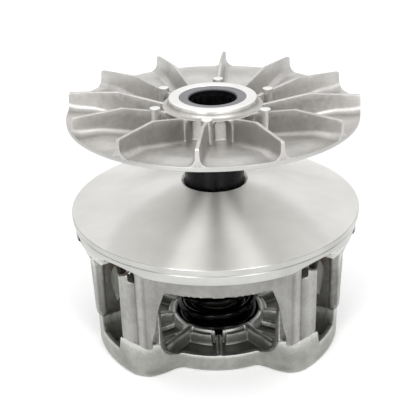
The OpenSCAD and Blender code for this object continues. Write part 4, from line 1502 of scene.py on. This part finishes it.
    def surface(self) -> Array:
        """The whole skin as one closed grid: inner side, outer wall, rounded foot, underside.

        Returns:
            Points, rows by columns by 3, with rows running round the section.
        """
        degrees = np.arange(self.columns) * 360.0 / self.columns
        angles = np.radians(degrees)
        rim = self.outline(degrees)
        share = np.linspace(0.0, 1.0, self.rows)[:, None]
        r = self.bore_r + (rim[None] - 0.4 - self.bore_r) * share
        x, y = r * np.cos(angles), r * np.sin(angles)
        top = self.heights(x, y, rim[None] - r)
        low = self.underside(x, y)
        inner = np.stack([x, y, top], axis=-1)
        share_z = np.array([1.0, 0.8, 0.6, 0.4, 0.25, 0.12, 0.04])[:, None]
        side_z = self.round + (top[-1] - 0.5 - self.round)[None] * share_z
        lean = self.lean(degrees)[None]
        side_r = rim[None] - lean * (1.0 - np.clip(side_z / self.boss_h, 0.0, 1.0))
        turn = np.radians([25.0, 50.0, 75.0, 90.0])[:, None]
        foot_r = side_r[-1:] - self.round * (1.0 - np.cos(turn))
        foot_z = self.round * (1.0 - np.sin(turn))
        inset = (rim - foot_r[-1] + 0.3) * ease((r - 50.0) / 14.0)
        side, foot = polar(side_r, angles, side_z), polar(foot_r, angles, foot_z)
        outer = polar((r - inset)[::-1], angles, low[::-1])
        return np.concatenate([inner, side, foot, outer])

    def paint_cup_shade(self, piece: bpy.types.Object) -> None:
        """Paints the faces inside the spring cup black with the second finish, as painted shade.

        Args:
            piece: the cover.
        """
        x, y, z = centres_of(piece.data).T
        cup_shade = (np.hypot(x, y) < self.cup_r - 0.8) & (z > self.floor - 0.5)
        piece.data.polygons.foreach_set("material_index", cup_shade.astype(np.int32))

    def painted_light(self, points: Array) -> Array:
        """Painted light added to the relief, from -1 painted shade to 1 painted highlight.

        Args:
            points: x, y and z of each point.

        Returns:
            Painted highlight on the boss tops and the pads beside the cup, and painted shade in the
            pockets between the ribs.
        """
        x, y, z = points.T
        r, degrees = np.hypot(x, y), np.degrees(np.arctan2(y, x))
        room = self.outline(degrees % 360.0) - r
        pocket = ease((8.0 - z) / 4.0) * ease((z - 1.5) / 1.0) * ease((room - 2.0) / 1.5)
        off = np.abs(from_nearest(degrees, PAIR_ANGLES))
        pad = ease((18.0 - off) / 4.0) * ease((r - 30.5) / 1.0)
        pad *= ease((42.0 - r) / 2.0) * ease((z - 3.5) / 1.5)
        # Painted highlight on boss tops and pads; painted shade in the pockets
        return 2.4 * ease((z - 20.0) / 4.0) - 0.8 * pocket * (1.0 - pad) + 2.2 * pad

    def build(self) -> bpy.types.Object:
        """Makes the cover, which stands for its CAD node.

        Returns:
            The piece.
        """
        shell = Shell()
        shell.add_grid(self.surface(), wrap_rows=True)
        finishes = [Finish.COVER_CAST.get(), Finish.SPRING_ENAMEL.get()]
        piece = shell.make("end_cover", finishes, sharp=60.0)
        # The inside of the spring cup is painted black as shade
        self.paint_cup_shade(piece)
        mark_relief(piece, gain=4.0, painted_tone=self.painted_light(points_of(piece)))
        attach(piece, "moving_half")
        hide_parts("cover")
        return piece


# ---------- CAD nodes that keep their shape ----------


@dataclass
class BarePieces:
    """The CAD nodes that show as they are, each with its own finish."""

    finishes: dict[str, Finish] = field(
        default_factory=lambda: {
            "upper_thrust_washer": Finish.GROUND_STEEL,
            "lower_thrust_washer": Finish.GROUND_STEEL,
            "idler_sleeve": Finish.BLACK_OXIDE,
            "needle_bearings": Finish.GROUND_STEEL,
            "spider_nut": Finish.DARK_STEEL,
            "roller_pins": Finish.GROUND_STEEL,
            "slide_buttons": Finish.POLYMER_BROWN,
            "sheave_bushing": Finish.LINER,
            "cover_bushing": Finish.LINER,
            "cover_screws": Finish.DARK_STEEL,
            "pivot_pins": Finish.GROUND_STEEL,
            "pivot_spacers": Finish.BRONZE,
            "cotter_pins": Finish.ZINC,
        }
    )

    def dress(self) -> None:
        """Gives each node its finish, the numbered ones in a loop."""
        for number in (1, 2, 3):
            self.finishes[f"roller_{number}"] = Finish.POLYMER_BLACK
            self.finishes[f"roller_bush_{number}"] = Finish.BRONZE
            self.finishes[f"flyweight_{number}"] = Finish.FORGED_STEEL
            self.finishes[f"weight_bush_{number}"] = Finish.BRONZE
            self.finishes[f"weight_rivets_{number}"] = Finish.GROUND_STEEL
        for name, finish in self.finishes.items():
            dress(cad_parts[name], finish.get())


@dataclass
class Shaft:
    """The shaft: a faced grey end round a black splined bore."""

    bore_r: float = 16.6
    head_h: float = 40.0  # the part of the shaft that is faced bright

    def dress(self) -> None:
        """Gives the faces in the bore and below the head a black finish."""
        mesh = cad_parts["shaft"].data
        mesh.materials.clear()
        mesh.materials.append(Finish.SHAFT_FACE.get())
        mesh.materials.append(Finish.BORE_BLACK.get())
        x, y, z = centres_of(mesh).T
        top = mm_box("shaft")[1][2]
        black = (np.hypot(x, y) < self.bore_r) | (z < top - self.head_h)
        mesh.polygons.foreach_set("material_index", black.astype(np.int32))
        mesh.update()


@dataclass
class Spider:
    """The spider: a rough sand casting with three forked arms."""

    voxel: float = 0.7

    def build(self) -> bpy.types.Object:
        """Makes the softened casting, which stands for its CAD node.

        Returns:
            The piece.
        """
        piece = cast_copy("spider_casting", "spider", self.voxel, rounds=2, keep=0.6)
        dress(piece, Finish.SPIDER_CAST.get())
        mark_relief(piece)
        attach(piece, "fixed_half")
        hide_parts("spider")
        return piece


# ---------- Studio ----------


@dataclass
class Camera:
    """A long lens a little above the pulley, turned slightly about its own line of sight."""

    lens: float = 80.03
    away: float = 653.3  # mm from the target
    elevation: float = 25.98  # degrees
    roll: float = -1.622  # degrees
    target: tuple[float, float, float] = (-5.15, 0.0, 93.78)

    def build(self) -> None:
        """Makes the camera and names it the scene's."""
        e, roll = math.radians(self.elevation), math.radians(self.roll)
        back = Vector((0.0, -math.cos(e), math.sin(e)))
        right, up = Vector((1.0, 0.0, 0.0)), Vector((0.0, math.sin(e), math.cos(e)))
        side = right * math.cos(roll) + up * math.sin(roll)
        top = up * math.cos(roll) - right * math.sin(roll)
        data = bpy.data.cameras.new("camera")
        data.lens = self.lens
        data.sensor_width = 36.0
        data.clip_end = 20.0
        camera = bpy.data.objects.new("camera", data)
        bpy.context.scene.collection.objects.link(camera)
        turn = Matrix((side, top, back)).transposed().to_4x4()
        place = (Vector(self.target) + back * self.away) * MM
        camera.matrix_world = Matrix.Translation(place) @ turn
        bpy.context.scene.camera = camera


@dataclass
class Studio:
    """A white floor and room, with soft boxes above and beside the pulley."""

    floor_half: float = 3.0  # m
    floor_z: float = -0.0005  # m, just under the cover
    aim_z: float = 0.09  # m, height at which the lamps point

    def floor(self) -> None:
        """Makes the floor, white to the camera and to polished metal."""
        shell = Shell()
        half = self.floor_half / MM
        corners = [[-half, -half, 0.0], [half, -half, 0.0], [half, half, 0.0], [-half, half, 0.0]]
        shell.points.append(np.array(corners))
        shell.faces.append(np.array([[0, 1, 2, 3]]))
        shell.marks.append(np.array([0]))
        w, shader = new_material("backdrop_paper")
        w.fill(shader, Base_Color=linear("#FAFAFA"), Roughness=0.9, Specular_IOR_Level=0.0)
        floor = shell.make("floor", [w.owner])
        floor.location.z = self.floor_z

    def world(self) -> None:
        """Makes a plain white room, which metal shows as it is."""
        world = bpy.data.worlds.new("room")
        bpy.context.scene.world = world
        world.use_nodes = True
        room = world.node_tree.nodes["Background"]
        room.inputs["Color"].default_value = linear("#FFFFFF")
        room.inputs["Strength"].default_value = 1.0

    def lamp(self, name: str, place: Vector, size: tuple[float, float], watts: float) -> None:
        """Adds a soft box that faces the pulley.

        Args:
            name: its name.
            place: where it stands, in metres.
            size: its width and height in metres.
            watts: its power.
        """
        data = bpy.data.lights.new(name, "AREA")
        data.shape = "RECTANGLE"
        data.size, data.size_y = size
        data.energy = watts
        lamp = bpy.data.objects.new(name, data)
        bpy.context.scene.collection.objects.link(lamp)
        lamp.location = place
        lamp.visible_camera = False
        lamp.rotation_euler = (place - Vector((0, 0, self.aim_z))).to_track_quat("Z", "Y").to_euler()

    def build(self) -> None:
        """Makes the floor, the room and the lamps."""
        self.floor()
        self.world()
        self.lamp("top_box", Vector((0.0, 0.7, 1.1)), (1.0, 0.7), 1.5)
        self.lamp("left_box", Vector((-0.46, -0.9, 0.85)), (0.4, 0.6), 5.0)
        self.lamp("right_box", Vector((0.46, -0.9, 0.85)), (0.4, 0.6), 4.5)
        bpy.context.scene.view_settings.view_transform = "Standard"


def main() -> None:
    """Builds every piece in order and reports each."""
    logging.basicConfig(level=logging.INFO, format="%(message)s")
    Camera().build()
    Studio().build()
    sheave = SlidingSheave()
    makers = [
        FanSheave().build,
        CoilSpring().build,
        Spider().build,
        sheave.disc,
        sheave.casting,
        EndCover().build,
    ]
    for make in makers:
        piece = make()
        log.info("%s: %d faces", piece.name, len(piece.data.polygons))
    BarePieces().dress()
    Shaft().dress()


if __name__ == "__main__":
    main()
